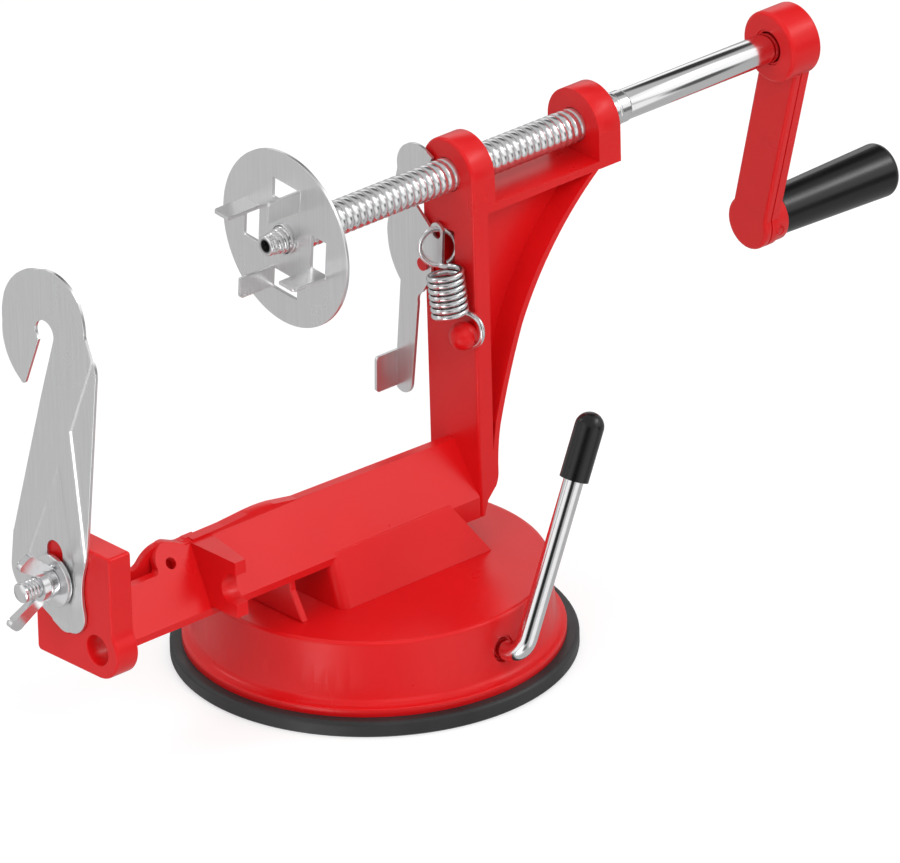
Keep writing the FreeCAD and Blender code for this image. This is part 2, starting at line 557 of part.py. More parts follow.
def prong_disc():
    disc = rod_x(DISC_X, DISC_X + DISC_T, DISC_R)
    y0, y1, z0, z1 = WINDOW
    for turn in range(4):
        window = box((DISC_X - 1, DISC_X + DISC_T + 1), (y0, y1), (AXIS_Z + z0, AXIS_Z + z1))
        low, high, tip = AXIS_Z + z0, AXIS_Z + z0 + PRONG_W, DISC_X - PRONG_LEN
        prong = along_y([(DISC_X + DISC_T, low), (DISC_X + DISC_T, high), (tip + PRONG_EDGE, high),
                         (tip + PRONG_EDGE * 0.3, high - PRONG_EDGE * 0.3, tip, high - PRONG_EDGE),
                         (tip, low)], y0, y0 + DISC_T)
        for shape in (window, prong):
            shape.rotate(V(0, 0, AXIS_Z), X_AXIS, DISC_TURN + 90 * turn)
        disc = disc.cut(window).fuse(prong)
    return disc.removeSplitter().cut(rod_x(DISC_X - 1, DISC_X + DISC_T + 1, TAIL_R))


def disc_nut():
    nut = rod_x(DISC_X - NUT_T, DISC_X, SPIGOT_R + NUT_WALL)
    return nut.cut(rod_x(DISC_X - NUT_T - 1, DISC_X + 1, SPIGOT_R))


def spigot():
    body = fuse([Part.makeCone(SPIGOT_TIP_R, SPIGOT_R, DISC_X - NUT_T - SPIGOT_TIP, V(SPIGOT_TIP, 0, AXIS_Z), X_AXIS),
                 rod_x(DISC_X - NUT_T, DISC_X, SPIGOT_R),
                 rod_x(DISC_X - 0.5, DISC_X + DISC_T + TAIL_LEN - 0.5, TAIL_R)])
    return body.cut(rod_x(SPIGOT_TIP - 1, DISC_X + DISC_T + TAIL_LEN + 1, SKEWER_R))


def arm_slab(x0, x1, inset=0.0):
    """One layer of the arm between the screw and the grip, with its round end."""
    dy, dz = ARM_SIDE, -ARM_DROP
    size = hypot(dy, dz)
    ny, nz = dz / size, -dy / size
    top, low = ARM_HALF[0] - inset, ARM_HALF[1] - inset

    def at(t, s):
        return (dy * t + ny * s, AXIS_Z + dz * t + nz * s)

    bar = along_x([at(0, top), at(1, low), at(1, -low), at(0, -top)], x0, x1)
    return fuse([bar, rod_x(x0, x1, ARM_R - inset, ARM_END_Y, ARM_END_Z)])


def crank_arm():
    """Crank: boss on the screw, grooved arm and the boss that holds the grip's axle."""
    groove = (ARM_X[0] + GROOVE[0], ARM_X[0] + GROOVE[1])
    front = soften(arm_slab(ARM_X[0], groove[0]), 1.1, lambda e: e.BoundBox.XMax < ARM_X[0] + 0.01)
    upper = soften(rod_x(BOSS_X[0], BOSS_X[1], BOSS_R), 1.2, lambda e: e.BoundBox.XLength < 0.01)
    arm = fuse([upper, front, arm_slab(groove[0], groove[1], GROOVE_DEPTH), arm_slab(groove[1], ARM_X[1]),
                rod_x(ARM_X[1] - 1, ARM_BOSS_END, ARM_R - 0.4, ARM_END_Y, ARM_END_Z)])
    cuts = [rod_x(BOSS_X[0] - 1, BOSS_X[0] + BOSS_RECESS, BOSS_RECESS_R),
            rod_x(BOSS_X[0], SHOULDER_X, CORE_R),
            square(BOSS_X[0], TENON_END),
            rod_x(TENON_END - 1, BOSS_X[1] + 2, CRANK_SCREW_R + 0.2),
            rod_x(BOSS_X[1] - SINK, ARM_X[1] + 2, SINK_R),
            rod_x(ARM_X[0] + ARM_FLOOR, ARM_BOSS_END + 1, GRIP_AXLE_R, ARM_END_Y, ARM_END_Z)]
    for shape in cuts:
        arm = arm.cut(shape)
    return arm


def crank_screw():
    return fuse([rod_x(BOSS_X[1] - SINK, BOSS_X[1] - 0.4, SINK_R - 0.3),
                 rod_x(BOSS_X[1] - CRANK_SCREW_LEN, BOSS_X[1] - SINK, CRANK_SCREW_R)])


def grip_axle():
    end = GRIP_X[1] - GRIP_POCKET + FREE_GAP
    return fuse([rod_x(ARM_X[0] + ARM_FLOOR, end, GRIP_AXLE_R, ARM_END_Y, ARM_END_Z),
                 rod_x(end, end + RETAINER_T + 0.3, RIVET_R, ARM_END_Y, ARM_END_Z)])


def grip_retainer():
    start = GRIP_X[1] - GRIP_POCKET + FREE_GAP
    washer = rod_x(start, start + RETAINER_T, GRIP_POCKET_R - 0.4, ARM_END_Y, ARM_END_Z)
    return washer.cut(rod_x(start - 1, start + RETAINER_T + 1, RIVET_R, ARM_END_Y, ARM_END_Z))


def grip():
    x0, x1 = GRIP_X
    r0, r1 = GRIP_R
    outer = path([(x0, 0), (x0, r0 - 0.7), (x0 + 0.2, r0 - 0.2, x0 + 0.8, r0), (x1 - 2.2, r1),
                  (x1 - 0.7, r1 - 0.7, x1, r1 - 2.2), (x1, 0)], lambda a, b: V(a, ARM_END_Y, ARM_END_Z + b))
    body = outer.revolve(V(0, ARM_END_Y, ARM_END_Z), X_AXIS, 360)
    body = body.cut(rod_x(x0 - 1, x1, GRIP_AXLE_R + RUN_FIT, ARM_END_Y, ARM_END_Z))
    return body.cut(rod_x(x1 - GRIP_POCKET, x1 + 1, GRIP_POCKET_R, ARM_END_Y, ARM_END_Z))


def grip_plug():
    start = GRIP_X[1] - GRIP_POCKET + 2 * FREE_GAP + RETAINER_T + 0.4
    return rod_x(start, GRIP_X[1] - 0.2, GRIP_POCKET_R, ARM_END_Y, ARM_END_Z)


# ---- latch group ----
def latch_plate():
    a = AXIS_Z
    hug = SCREW_R + FREE_GAP + 0.1
    outline = [(14.2, a + 5.9), (10.4, a + 6.5, 7.0, a + 5.4), (4.6, a + 4.2),
               (hug, a - 0.5, 4.4, a - 3.6), (7.6, a - 7.2), (11.6, a - 9.6, 12.6, a - 13.0),
               (6.2, a - 18.5), (5.3, a - 17.0), (3.4, a - 16.1, 1.4, a - 16.9), (0.6, a - 17.8), (1.4, a - 29.3),
               (5.9, a - 29.9), (6.2, a - 34.5), (10.2, a - 40.6), (11.8, a - 41.9, 12.4, a - 44.7),
               (16.0, a - 72.6), (18.2, a - 75.7, 22.6, a - 75.3), (22.2, a - 63.0), (19.8, a - 39.7),
               (23.4, a - 34.2, 25.0, a - 27.0), (24.8, a - 22.5, 23.8, a - 19.5), (19.9, a - 3.5),
               (18.6, a + 2.6, 14.2, a + 5.9)]
    plate = along_x(outline, LATCH_X, LATCH_X + LATCH_T)
    tab = along_x([(22.2, a - 63.2), (22.2 + LATCH_T, a - 63.2), (22.6 + LATCH_T, a - 74.6), (22.6, a - 74.8)],
                  LATCH_X - TAB_LEN, LATCH_X + LATCH_T)
    tab = soften(tab, TAB_EDGE, lambda e: e.BoundBox.XMax < LATCH_X - TAB_LEN + 0.01 and e.BoundBox.YLength > 0.9)
    bend = along_x([(21.4, a - 63.0), (22.3, a - 63.0), (22.7, a - 75.0), (21.8, a - 75.2)],
                   LATCH_X, LATCH_X + LATCH_T)
    plate = fuse([plate, bend, tab])
    plate = plate.cut(rod_x(LATCH_X - 1, LATCH_X + 3, PIVOT_R + RUN_FIT, PIVOT_Y, PIVOT_Z))
    return plate.cut(rod_x(LATCH_X - 1, LATCH_X + 3, HOOK_HOLE_R, HOOK_Y, HOOK_Z))


def latch_pivot():
    back = LATCH_X - FREE_GAP
    return fuse([rod_x(back - PIVOT_HEAD, COL_X + PIVOT_LEN, PIVOT_R, PIVOT_Y, PIVOT_Z),
                 rod_x(back - PIVOT_HEAD, back, PIVOT_R + PIVOT_HEAD, PIVOT_Y, PIVOT_Z)])


def spring_post():
    """Ball-headed post that stands on the column's face, its pin let into the column."""
    neck = (POST_R ** 2 - (COL_X - POST_X) ** 2) ** 0.5
    outline = path([(POST_X - POST_R, 0), (POST_X - POST_R * 0.6, POST_R * 0.8, POST_X, POST_R),
                    (POST_X + POST_R * 0.6, POST_R * 0.8, COL_X, neck), (COL_X, POST_PIN_R),
                    (COL_X + POST_PIN, POST_PIN_R), (COL_X + POST_PIN, 0)],
                   lambda x, r: V(x, POST_Y, POST_Z + r))
    return outline.revolve(V(0, POST_Y, POST_Z), X_AXIS, 360)


def latch_spring():
    coil = rod(COIL_TOP, COIL_LOW, COIL_R).cut(rod(COIL_TOP + (COIL_TOP - COIL_LOW) * 0.1,
                                                   COIL_LOW + (COIL_LOW - COIL_TOP) * 0.1, COIL_R - 2 * WIRE_R))
    eye_center = V(LATCH_X + LATCH_T / 2, HOOK_Y, HOOK_Z - EYE_R)
    eye = ring(eye_center, V(-0.653, -0.757, 0), EYE_R, WIRE_R)
    hook = ring(V(31.2, POST_Y, POST_Z), X_AXIS, 4.75, WIRE_R)
    arm_1 = rod(eye_center + V(-4.2, 3.65, -0.5), COIL_TOP + V(0.4, 4.8, -1.5), WIRE_R)
    arm_2 = rod(COIL_LOW + V(4.6, -2.4, 1.5), V(31.2, POST_Y - 1.6, POST_Z + 4.5), WIRE_R)
    return fuse([coil, eye, hook, arm_1, arm_2])


# ---- blade group ----
def blade():
    """Stamped blade: crescent head with a keyhole on the screw's axis, waist and round foot."""
    a, b = AXIS_Z, BOLT_Z
    outline = [(1.6, a + 19.4), (-8.0, a + 19.9, -15.0, a + 15.0), (-17.2, a + 9.0, -17.6, a + 4.5),
               (-20.2, a - 2.0), (-21.1, a - 4.4, -21.2, a - 9.0), (-14.2, b + 8.5), (-12.5, b + 1.5, -13.0, b - 6.5),
               (-11.6, b - 12.5, -6.5, b - 14.9), (-4.0, b - 15.5, -1.4, b - 14.7), (9.6, b - 9.5),
               (17.6, b - 5.6, 18.6, b - 0.5), (17.3, b + 9.4), (9.6, a - 43.0), (2.5, a - 20.0),
               (-3.8, a - 0.9), (-0.4, a + 4.0, 2.85, a - 2.8), (9.2, a - 18.0), (10.2, a - 19.0, 11.6, a - 18.2),
               (17.0, a - 12.0, 18.6, a - 2.0), (15.6, a + 10.5, 1.6, a + 19.4)]
    sheet = along_x(outline, BLADE_X, BLADE_X + BLADE_T)
    low, high = b - SLOT_DOWN, b + SLOT_UP
    slot = along_x([(BOLT_Y - SLOT_HALF, low), (BOLT_Y, low - SLOT_HALF, BOLT_Y + SLOT_HALF, low),
                    (BOLT_Y + SLOT_HALF, high), (BOLT_Y, high + SLOT_HALF, BOLT_Y - SLOT_HALF, high)],
                   BLADE_X - 1, BLADE_X + BLADE_T + 1)
    return sheet.cut(slot)


def blade_bolt():
    back = BLOCK_X + BLOCK_T
    return fuse([rod_x(BOLT_TIP, back, BOLT_R, BOLT_Y, BOLT_Z),
                 rod_x(back, back + BOLT_HEAD, BOLT_HEAD_R, BOLT_Y, BOLT_Z)])


def blade_washer():
    washer = rod_x(WASHER_X, WASHER_X + WASHER_T, WASHER_R, BOLT_Y, BOLT_Z)
    return washer.cut(rod_x(WASHER_X - 1, WASHER_X + WASHER_T + 1, BOLT_R + FREE_GAP, BOLT_Y, BOLT_Z))


def wing_nut():
    x1 = WASHER_X - 0.1
    hub = fuse([Part.makeCone(5.0, 4.4, 3.0, V(x1 - 3.0, BOLT_Y, BOLT_Z), X_AXIS),
                rod_x(x1 - 5.4, x1 - 2.9, 4.4, BOLT_Y, BOLT_Z)])
    wing = along_y([(x1 - 0.4, 3.6), (x1 - 4.8, 3.6), (x1 - 13.0, 9.0), (x1 - 13.7, 10.2, x1 - 13.2, 11.5),
                    (x1 - 11.6, 12.9), (x1 - 9.8, 13.3, x1 - 8.4, 12.3), (x1 - 0.6, 5.6)],
                   -WING_T / 2, WING_T / 2)
    wings = []
    for turn in (0, 180):
        one = wing.copy()
        one.translate(V(0, BOLT_Y, BOLT_Z))
        one.rotate(V(0, BOLT_Y, BOLT_Z), X_AXIS, 15 + turn)
        wings.append(one)
    nut = fuse([hub] + wings)
    return nut.cut(rod_x(x1 - 20, x1 + 1, BOLT_R + RUN_FIT, BOLT_Y, BOLT_Z))


NODES = [base_bell, suction_pad, pad_core, pull_stud, lever_rod, lever_cam, lever_cap, axle_clip, frame_screws,
         frame_column, frame_trough, frame_block, frame_foot, frame_gusset,
         spring_post, latch_plate, latch_pivot, latch_spring,
         spacer_sleeve, lead_screw, disc_nut, prong_disc, spigot,
         crank_arm, crank_screw, grip_axle, grip_retainer, grip, grip_plug,
         blade, blade_bolt, blade_washer, wing_nut]

os.makedirs("parts", exist_ok=True)
for make in NODES:
    shape = make()
    shape.exportStep("parts/" + make.__name__ + ".step")
    print(make.__name__, "solids", len(shape.Solids), "valid", shape.isValid(), "volume", round(shape.Volume, 1))
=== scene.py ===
import math

import bmesh
import bpy
from mathutils import Matrix, Vector
from mathutils.geometry import delaunay_2d_cdt


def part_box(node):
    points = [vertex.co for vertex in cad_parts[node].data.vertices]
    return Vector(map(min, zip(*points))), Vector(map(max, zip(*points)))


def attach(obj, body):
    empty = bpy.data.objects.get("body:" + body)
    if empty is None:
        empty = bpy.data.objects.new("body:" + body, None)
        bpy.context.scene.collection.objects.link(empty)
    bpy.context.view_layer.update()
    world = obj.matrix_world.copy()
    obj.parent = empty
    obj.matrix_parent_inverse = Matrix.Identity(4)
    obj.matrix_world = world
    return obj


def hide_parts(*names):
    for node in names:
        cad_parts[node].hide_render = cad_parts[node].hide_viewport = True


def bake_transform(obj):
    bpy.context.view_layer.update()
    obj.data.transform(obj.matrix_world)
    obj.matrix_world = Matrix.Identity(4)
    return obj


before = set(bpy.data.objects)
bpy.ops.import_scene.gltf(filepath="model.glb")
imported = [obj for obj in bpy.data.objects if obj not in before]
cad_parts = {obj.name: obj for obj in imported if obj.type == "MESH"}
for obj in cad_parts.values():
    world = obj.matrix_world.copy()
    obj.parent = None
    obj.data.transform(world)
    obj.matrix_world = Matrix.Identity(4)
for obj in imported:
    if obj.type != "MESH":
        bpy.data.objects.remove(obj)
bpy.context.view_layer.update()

# Tornado potato cutter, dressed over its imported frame. Lengths are millimetres, and metres where
# a name ends in _m or _M; MM turns the first into the second.
MM = 0.001

# ---- places read from the frame ----
AXIS_Z = (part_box("spacer_sleeve")[0].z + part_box("spacer_sleeve")[1].z) / 2 / MM
SCREW, SLEEVE, DISC, SPIGOT, BOLT, BLADE, POST = (
    [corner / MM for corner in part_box(node)]
    for node in ("lead_screw", "spacer_sleeve", "prong_disc", "spigot", "blade_bolt", "blade",
                 "spring_post"))
BOLT_Y = (BOLT[0].y + BOLT[1].y) / 2
BOLT_Z = (BOLT[0].z + BOLT[1].z) / 2

# ---- sizes of what is modelled here ----
# Collar in the bell's hole round the lever's rod
AXLE_X, AXLE_Z, ROD_R, LEVER_HOLE_R = 3.8, 16.3, 3.0, 4.0
BUSH_Y, BUSH_LEN, BUSH_PLAY, BUSH_SEAT = -51.7, 2.0, 0.08, 0.1
# Collar in the crank's recess round the sleeve
BOSS_COVERS = 1.5               # how far the crank's boss reaches over the sleeve
LIP_BACK, LIP_PLAY, LIP_SEAT, LIP_LEN = 0.3, 0.15, 0.95, 1.2
# Round marks that the mould's pins left on the red pieces
DECK_MARKS = ((38.0, -11.25, 134.8), (87.8, -11.25, 135.0))
DECK_MARK_R, DECK_MARK_WALL = 1.8, 0.18
CRANK_MARK, CRANK_MARK_R, CRANK_MARK_IN_R = (171.7, 8.45, 74.8), 1.5, 1.3
MARK_LEN = 0.4
COLLAR_EDGE, COLLAR_SIDES = 0.2, 64
# Screw
SCREW_R, SCREW_SIDES = 5.25, 56
THREAD_PITCH, THREAD_DEPTH = 2.6, 0.5
THREAD_CHAMFER, THREAD_LEAD_IN, THREAD_RUN_OUT, THREAD_STEP = 0.9, 0.5, 0.4, 0.4
# the screw's thread keeps its last stretch free of painted groove shade
THREAD_UNSHADED = 0.3              # the thread's last stretch, which stays bright
NECK_R, NECK_LEN, CORE_R = 4.9, 3.2, 3.6
SLEEVE_PLAY = 0.4
# Spigot
SPIGOT_R, SPIGOT_TIP_R, SPIGOT_PITCH, SPIGOT_DEPTH = 4.3, 3.1, 1.75, 0.8
SKEWER_R, TAIL_R = 1.85, 3.0
TIP_CHAMFER_R, TIP_CHAMFER, TIP_LAND, SPIGOT_LEAD_IN, SPIGOT_RUN_OUT = 0.35, 0.3, 0.9, 1.0, 1.2
# Blade bolt
BOLT_R, BOLT_PITCH, BOLT_DEPTH, BOLT_SIDES, BOLT_STEPS = 3.0, 1.25, 0.5, 40, 10
# the bolt's thread keeps its last stretch before the head free of painted groove shade
BOLT_CHAMFER_R, BOLT_CHAMFER, BOLT_LEAD_IN, BOLT_UNSHADED = 0.5, 0.4, 0.5, 0.1
BOLT_HEAD_R, BOLT_HEAD, HEAD_EDGE, HEAD_FACE_EDGE = 5.2, 3.4, 0.4, 0.6
HEAD_SOCKET_R, HEAD_SOCKET_END_R, HEAD_SOCKET = 2.6, 2.4, 1.6
# Latch spring
WIRE_R, COIL_R, COIL_TURNS, COIL_START, COIL_STEPS = 0.84, 5.7, 7.12, -0.09, 28
COIL_TOP = Vector((26.4, -4.98, AXIS_Z - 26.5))
COIL_LOW = Vector((26.4, -7.29, AXIS_Z - 41.8))
# painted shade on the coil's wire: where it starts and over what it grows
COIL_SHADE_FROM, COIL_SHADE_OVER = 0.55, 0.45     # shares of the wire's radius, towards the next turn
EYE_MIDDLE = Vector((31.0, 2.8, AXIS_Z - 23.6))
EYE_R, EYE_TALLER = 5.3, 1.10
EYE_FACES = Vector((0.653, 0.757, 0))
EYE_STEPS, EYE_POINTS, EYE_START = 40, 38, -0.42
EYE_LEAD = Vector((0.5, 0, -0.4))
HOOK = ((31.0, -12.0, 100.2), (31.2, -14.6, 98.6), (31.2, -15.4, 95.6), (31.2, -14.2, 92.4),
        (31.2, -11.4, 90.4), (31.2, -8.6, 90.0))


# ---- material helpers ----
def add_node(tree, kind, **values):
    node = tree.nodes.new(kind)
    for key, value in values.items():
        if key in node.inputs.keys():
            node.inputs[key].default_value = value
        else:
            setattr(node, key, value)
    return node


def new_material(name, colour, metallic, specular=0.5):
    """Principled material whose constant numbers sit on the shader's own sockets."""
    material = bpy.data.materials.new(name)
    material.use_nodes = True
    shader = material.node_tree.nodes["Principled BSDF"]
    shader.inputs["Base Color"].default_value = (*colour, 1)
    shader.inputs["Metallic"].default_value = metallic
    shader.inputs["Specular IOR Level"].default_value = specular
    return material, material.node_tree, shader


def placed(tree, stretch=(1, 1, 1)):
    """Object coordinates, stretched for grain."""
    where = add_node(tree, "ShaderNodeTexCoord")
    mapping = add_node(tree, "ShaderNodeMapping", Scale=stretch)
    tree.links.new(where.outputs["Object"], mapping.inputs["Vector"])
    return mapping.outputs["Vector"]


def noise(tree, vector, scale, detail=3.0, roughness=0.5):
    node = add_node(tree, "ShaderNodeTexNoise", Scale=scale, Detail=detail, Roughness=roughness)
    tree.links.new(vector, node.inputs["Vector"])
    return node.outputs["Fac"]


def remap(tree, value, low, high, from_low=0.3, from_high=0.7, interpolation="LINEAR"):
    """Value taken from its own range to low and high."""
    node = add_node(tree, "ShaderNodeMapRange", interpolation_type=interpolation)
    node.inputs["From Min"].default_value = from_low
    node.inputs["From Max"].default_value = from_high
    node.inputs["To Min"].default_value = low
    node.inputs["To Max"].default_value = high
    tree.links.new(value, node.inputs["Value"])
    return node.outputs["Result"]


def tint(tree, value, first, second, socket):
    """Colour mix by value into the socket; first and second are colours, or first is an output."""
    mix = add_node(tree, "ShaderNodeMix", data_type="RGBA")
    share, first_colour, second_colour = (mix.inputs[k] for k in (0, 6, 7))
    if isinstance(first, tuple):
        first_colour.default_value = (*first, 1)
    else:
        tree.links.new(first, first_colour)
    second_colour.default_value = (*second, 1)
    tree.links.new(value, share)
    tree.links.new(mix.outputs[2], socket)


def bump(tree, shader, value, strength, distance_m):
    node = add_node(tree, "ShaderNodeBump", Strength=strength, Distance=distance_m)
    tree.links.new(value, node.inputs["Height"])
    if shader.inputs["Normal"].is_linked:
        before = shader.inputs["Normal"].links[0].from_socket
        tree.links.new(before, node.inputs["Normal"])
    tree.links.new(node.outputs["Normal"], shader.inputs["Normal"])


def scaled(colour, factor):
    return tuple(min(1.0, channel * factor) for channel in colour)


# ---- materials ----
# name of the mesh value that sets the painted shade of thread grooves and coil turns
GROOVE_VALUE = "groove"


def red_plastic():
    """Glossy moulded plastic with faint colour swirl and a very fine mould texture."""
    red = (0.700, 0.007, 0.009)
    material, tree, shader = new_material("red_plastic", red, 0.0, specular=0.33)
    where = placed(tree)
    swirl = remap(tree, noise(tree, where, 22, 4.0), 0.0, 1.0)
    tint(tree, swirl, scaled(red, 0.95), scaled(red, 1.05), shader.inputs["Base Color"])
    tree.links.new(remap(tree, noise(tree, where, 60), 0.27, 0.34), shader.inputs["Roughness"])
    bump(tree, shader, noise(tree, where, 1400, 2.0), 0.05, 0.00005)
    bump(tree, shader, noise(tree, where, 45, 1.0), 0.06, 0.0004)
    return material


def black_rubber():
    """Matt rubber of the suction pad, with a faint turned grain and dust."""
    black = (0.024, 0.024, 0.025)
    material, tree, shader = new_material("black_rubber", black, 0.0, specular=0.35)
    where = placed(tree)
    dust = remap(tree, noise(tree, where, 35, 6.0), 0.0, 1.0)
    tint(tree, dust, scaled(black, 0.8), scaled(black, 1.5), shader.inputs["Base Color"])
    tree.links.new(remap(tree, noise(tree, where, 90), 0.42, 0.55), shader.inputs["Roughness"])
    bump(tree, shader, noise(tree, where, 900, 4.0), 0.18, 0.0001)
    return material


def black_plastic():
    """Glossy black plastic of the grip and the lever's cap."""
    black = (0.004, 0.004, 0.0042)
    material, tree, shader = new_material("black_plastic", black, 0.0, specular=0.5)
    where = placed(tree)
    cloud = remap(tree, noise(tree, where, 30, 3.0), 0.0, 1.0)
    tint(tree, cloud, scaled(black, 0.85), scaled(black, 1.3), shader.inputs["Base Color"])
    tree.links.new(remap(tree, noise(tree, where, 70), 0.22, 0.28), shader.inputs["Roughness"])
    bump(tree, shader, noise(tree, where, 1100, 2.0), 0.06, 0.00005)
    return material


def chrome_steel():
    """Polished bar: bright, with faint lengthwise draw marks."""
    steel = (0.83, 0.83, 0.84)
    material, tree, shader = new_material("chrome_steel", steel, 1.0)
    along = placed(tree, (0.06, 1, 1))
    cloud = remap(tree, noise(tree, along, 700, 2.0), 0.0, 1.0)
    tint(tree, cloud, scaled(steel, 0.97), scaled(steel, 1.02), shader.inputs["Base Color"])
    wear = remap(tree, noise(tree, placed(tree), 50), 0.10, 0.15)
    tree.links.new(wear, shader.inputs["Roughness"])
    bump(tree, shader, noise(tree, along, 900, 1.0), 0.02, 0.00004)
    return material


def plated_steel(shade_grooves=False):
    """Zinc plated hardware; where asked, painted shade darkens it by the mesh's own groove value,
    deepest in the grooves.
    """
    steel = (0.78, 0.78, 0.79)
    material, tree, shader = new_material("plated_steel", steel, 0.9)
    where = placed(tree)
    cloud = remap(tree, noise(tree, where, 120, 4.0), 0.0, 1.0)
    tint(tree, cloud, scaled(steel, 0.94), scaled(steel, 1.04), shader.inputs["Base Color"])
    if shade_grooves:
        depth = add_node(tree, "ShaderNodeAttribute", attribute_name=GROOVE_VALUE)
        unshaded_colour = shader.inputs["Base Color"].links[0].from_socket
        # painted shade, mixed in by how deep the mesh lies in its groove
        groove_shade = remap(tree, depth.outputs["Fac"], 0.0, 1.0, 0.50, 1.1)
        tint(tree, groove_shade, unshaded_colour, (0.045, 0.043, 0.043), shader.inputs["Base Color"])
    tree.links.new(remap(tree, noise(tree, where, 200), 0.12, 0.19), shader.inputs["Roughness"])
    bump(tree, shader, noise(tree, where, 1500, 3.0), 0.03, 0.00004)
    return material


def sheet_steel():
    """Satin stainless sheet with a fine upright grain."""
    steel = (0.76, 0.76, 0.765)
    material, tree, shader = new_material("sheet_steel", steel, 0.92)
    grain = noise(tree, placed(tree, (1, 1, 0.03)), 1600, 3.0)
    tint(tree, remap(tree, grain, 0.0, 1.0), scaled(steel, 0.965), scaled(steel, 1.035),
         shader.inputs["Base Color"])
    wear = remap(tree, noise(tree, placed(tree), 40, 4.0), 0.26, 0.34)
    tree.links.new(wear, shader.inputs["Roughness"])
    bump(tree, shader, grain, 0.03, 0.00004)
    return material


RED = red_plastic()
RUBBER = black_rubber()
BLACK = black_plastic()
CHROME = chrome_steel()
PLATED = plated_steel()
THREADED = plated_steel(shade_grooves=True)
SHEET = sheet_steel()


# ---- mesh helpers ----
WELD_M, FLAT_DEGREES, ROUNDING_SEGMENTS = 0.000004, 0.5, 2


def paint(obj, material):
    """Give the piece its one material."""
    obj.data.materials.clear()
    obj.data.materials.append(material)


def crease_by_angle(mesh, degrees):
    """Smooth shading, with edges sharper than the angle kept crisp."""
    work = bmesh.new()
    work.from_mesh(mesh)
    bmesh.ops.recalc_face_normals(work, faces=work.faces)
    for face in work.faces:
        face.smooth = True
    limit = math.radians(degrees)
    for edge in work.edges:
        edge.smooth = len(edge.link_faces) == 2 and edge.calc_face_angle(0.0) < limit
    work.to_mesh(mesh)
    work.free()


def new_object(name, verts, faces, crease, grooves=()):
    """Object from millimetre points; grooves holds a painted shade from 0 to 1 for each point."""
    mesh = bpy.data.meshes.new(name)
    mesh.from_pydata([tuple(c * MM for c in v) for v in verts], [], faces)
    mesh.validate()
    crease_by_angle(mesh, crease)
    if grooves:
        mesh.attributes.new(GROOVE_VALUE, "FLOAT", "POINT").data.foreach_set("value", grooves)
    obj = bpy.data.objects.new(name, mesh)
    bpy.context.collection.objects.link(obj)
    return obj


def add_piece(name, verts, faces, material, body, stands_for=(), crease=35, grooves=()):
    """Piece that rides on a body and, where stands_for names nodes, is seen in their place."""
    obj = new_object(name, verts, faces, crease, grooves)
    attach(obj, body)
    if stands_for:
        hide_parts(*stands_for)
    paint(obj, material)
    return obj


def thread_grooves(verts, depth, y, z, crest, end, tip=None):
    """How deep each point before the thread's end lies, as a share of the thread's depth; this sets
    the painted groove shade.

    With tip, the crest grows from that radius at the first point to crest at the last."""
    x0, x1 = min(v[0] for v in verts), max(v[0] for v in verts)
    first = crest if tip is None else tip
    values = []
    for v in verts:
        top = first + (crest - first) * (v[0] - x0) / (x1 - x0)
        deep = (top - math.hypot(v[1] - y, v[2] - z)) / depth
        values.append(max(0.0, min(1.0, deep)) if v[0] < end else 0.0)
    return values


def skin(rings, wrap=False, caps=True):
    """Quads between rings of equal length; wrap joins the last ring to the first."""
    size = len(rings[0])
    verts = [point for one in rings for point in one]
    pairs = [(k, k + 1) for k in range(len(rings) - 1)]
    if wrap:
        pairs.append((len(rings) - 1, 0))
    faces = []
    for a, b in pairs:
        for i in range(size):
            j = (i + 1) % size
            faces.append((a * size + i, a * size + j, b * size + j, b * size + i))
    if caps and not wrap:
        faces.append(tuple(range(size))[::-1])
        faces.append(tuple((len(rings) - 1) * size + i for i in range(size)))
    return verts, faces


def circle_x(x, r, y, z, segments):
    turns = [2 * math.pi * i / segments for i in range(segments)]
    return [(x, y + r * math.cos(turn), z + r * math.sin(turn)) for turn in turns]


def circles_x(profile, y, z, segments):
    """Rings about the line through y and z, one for each (x, r) of the profile."""
    return [circle_x(x, r, y, z, segments) for x, r in profile]


def circle_round(middle, side, other, r, segments):
    """Ring about middle, in the plane of the directions side and other."""
    turns = [2 * math.pi * i / segments for i in range(segments)]
    return [middle + (side * math.cos(turn) + other * math.sin(turn)) * r for turn in turns]


def thread_rings(x0, x1, r, depth, pitch, y, z, segments=56, steps=14, narrow=2.3, tip_r=None):
    """Rings of a thread with rounded crests and narrow grooves, steps of them a turn.

    With tip_r the crest grows from tip_r to r; a larger narrow makes the grooves narrower."""
    count = max(2, round((x1 - x0) / pitch * steps))
    first_r = r if tip_r is None else tip_r
    rings = []
    for k in range(count + 1):
        x = x0 + (x1 - x0) * k / count
        fade = min(1.0, (x - x0) / pitch, (x1 - x) / pitch)
        crest_r = first_r + (r - first_r) * k / count
        ring = []
        for i in range(segments):
            turn = 2 * math.pi * i / segments
            phase = ((x - x0) / pitch - i / segments) % 1.0
            here = crest_r - depth * fade * (1 - abs(math.cos(math.pi * phase)) ** (1 / narrow))
            ring.append((x, y + here * math.cos(turn), z + here * math.sin(turn)))
        rings.append(ring)
    return rings


def tube(points, r, sides=14, closed=False):
    """Round wire along points, with a frame carried smoothly from point to point."""
    count = len(points)
    rings = []
    side = None
    for k, point in enumerate(points):
        before = points[k - 1] if (k or closed) else point
        after = points[(k + 1) % count] if (k < count - 1 or closed) else point
        way = (Vector(after) - Vector(before)).normalized()
        if side is None:
            side = way.orthogonal().normalized()
        side = (side - way * side.dot(way)).normalized()
        other = way.cross(side)
        rings.append(circle_round(Vector(point), side, other, r, sides))
    return skin(rings, wrap=closed)


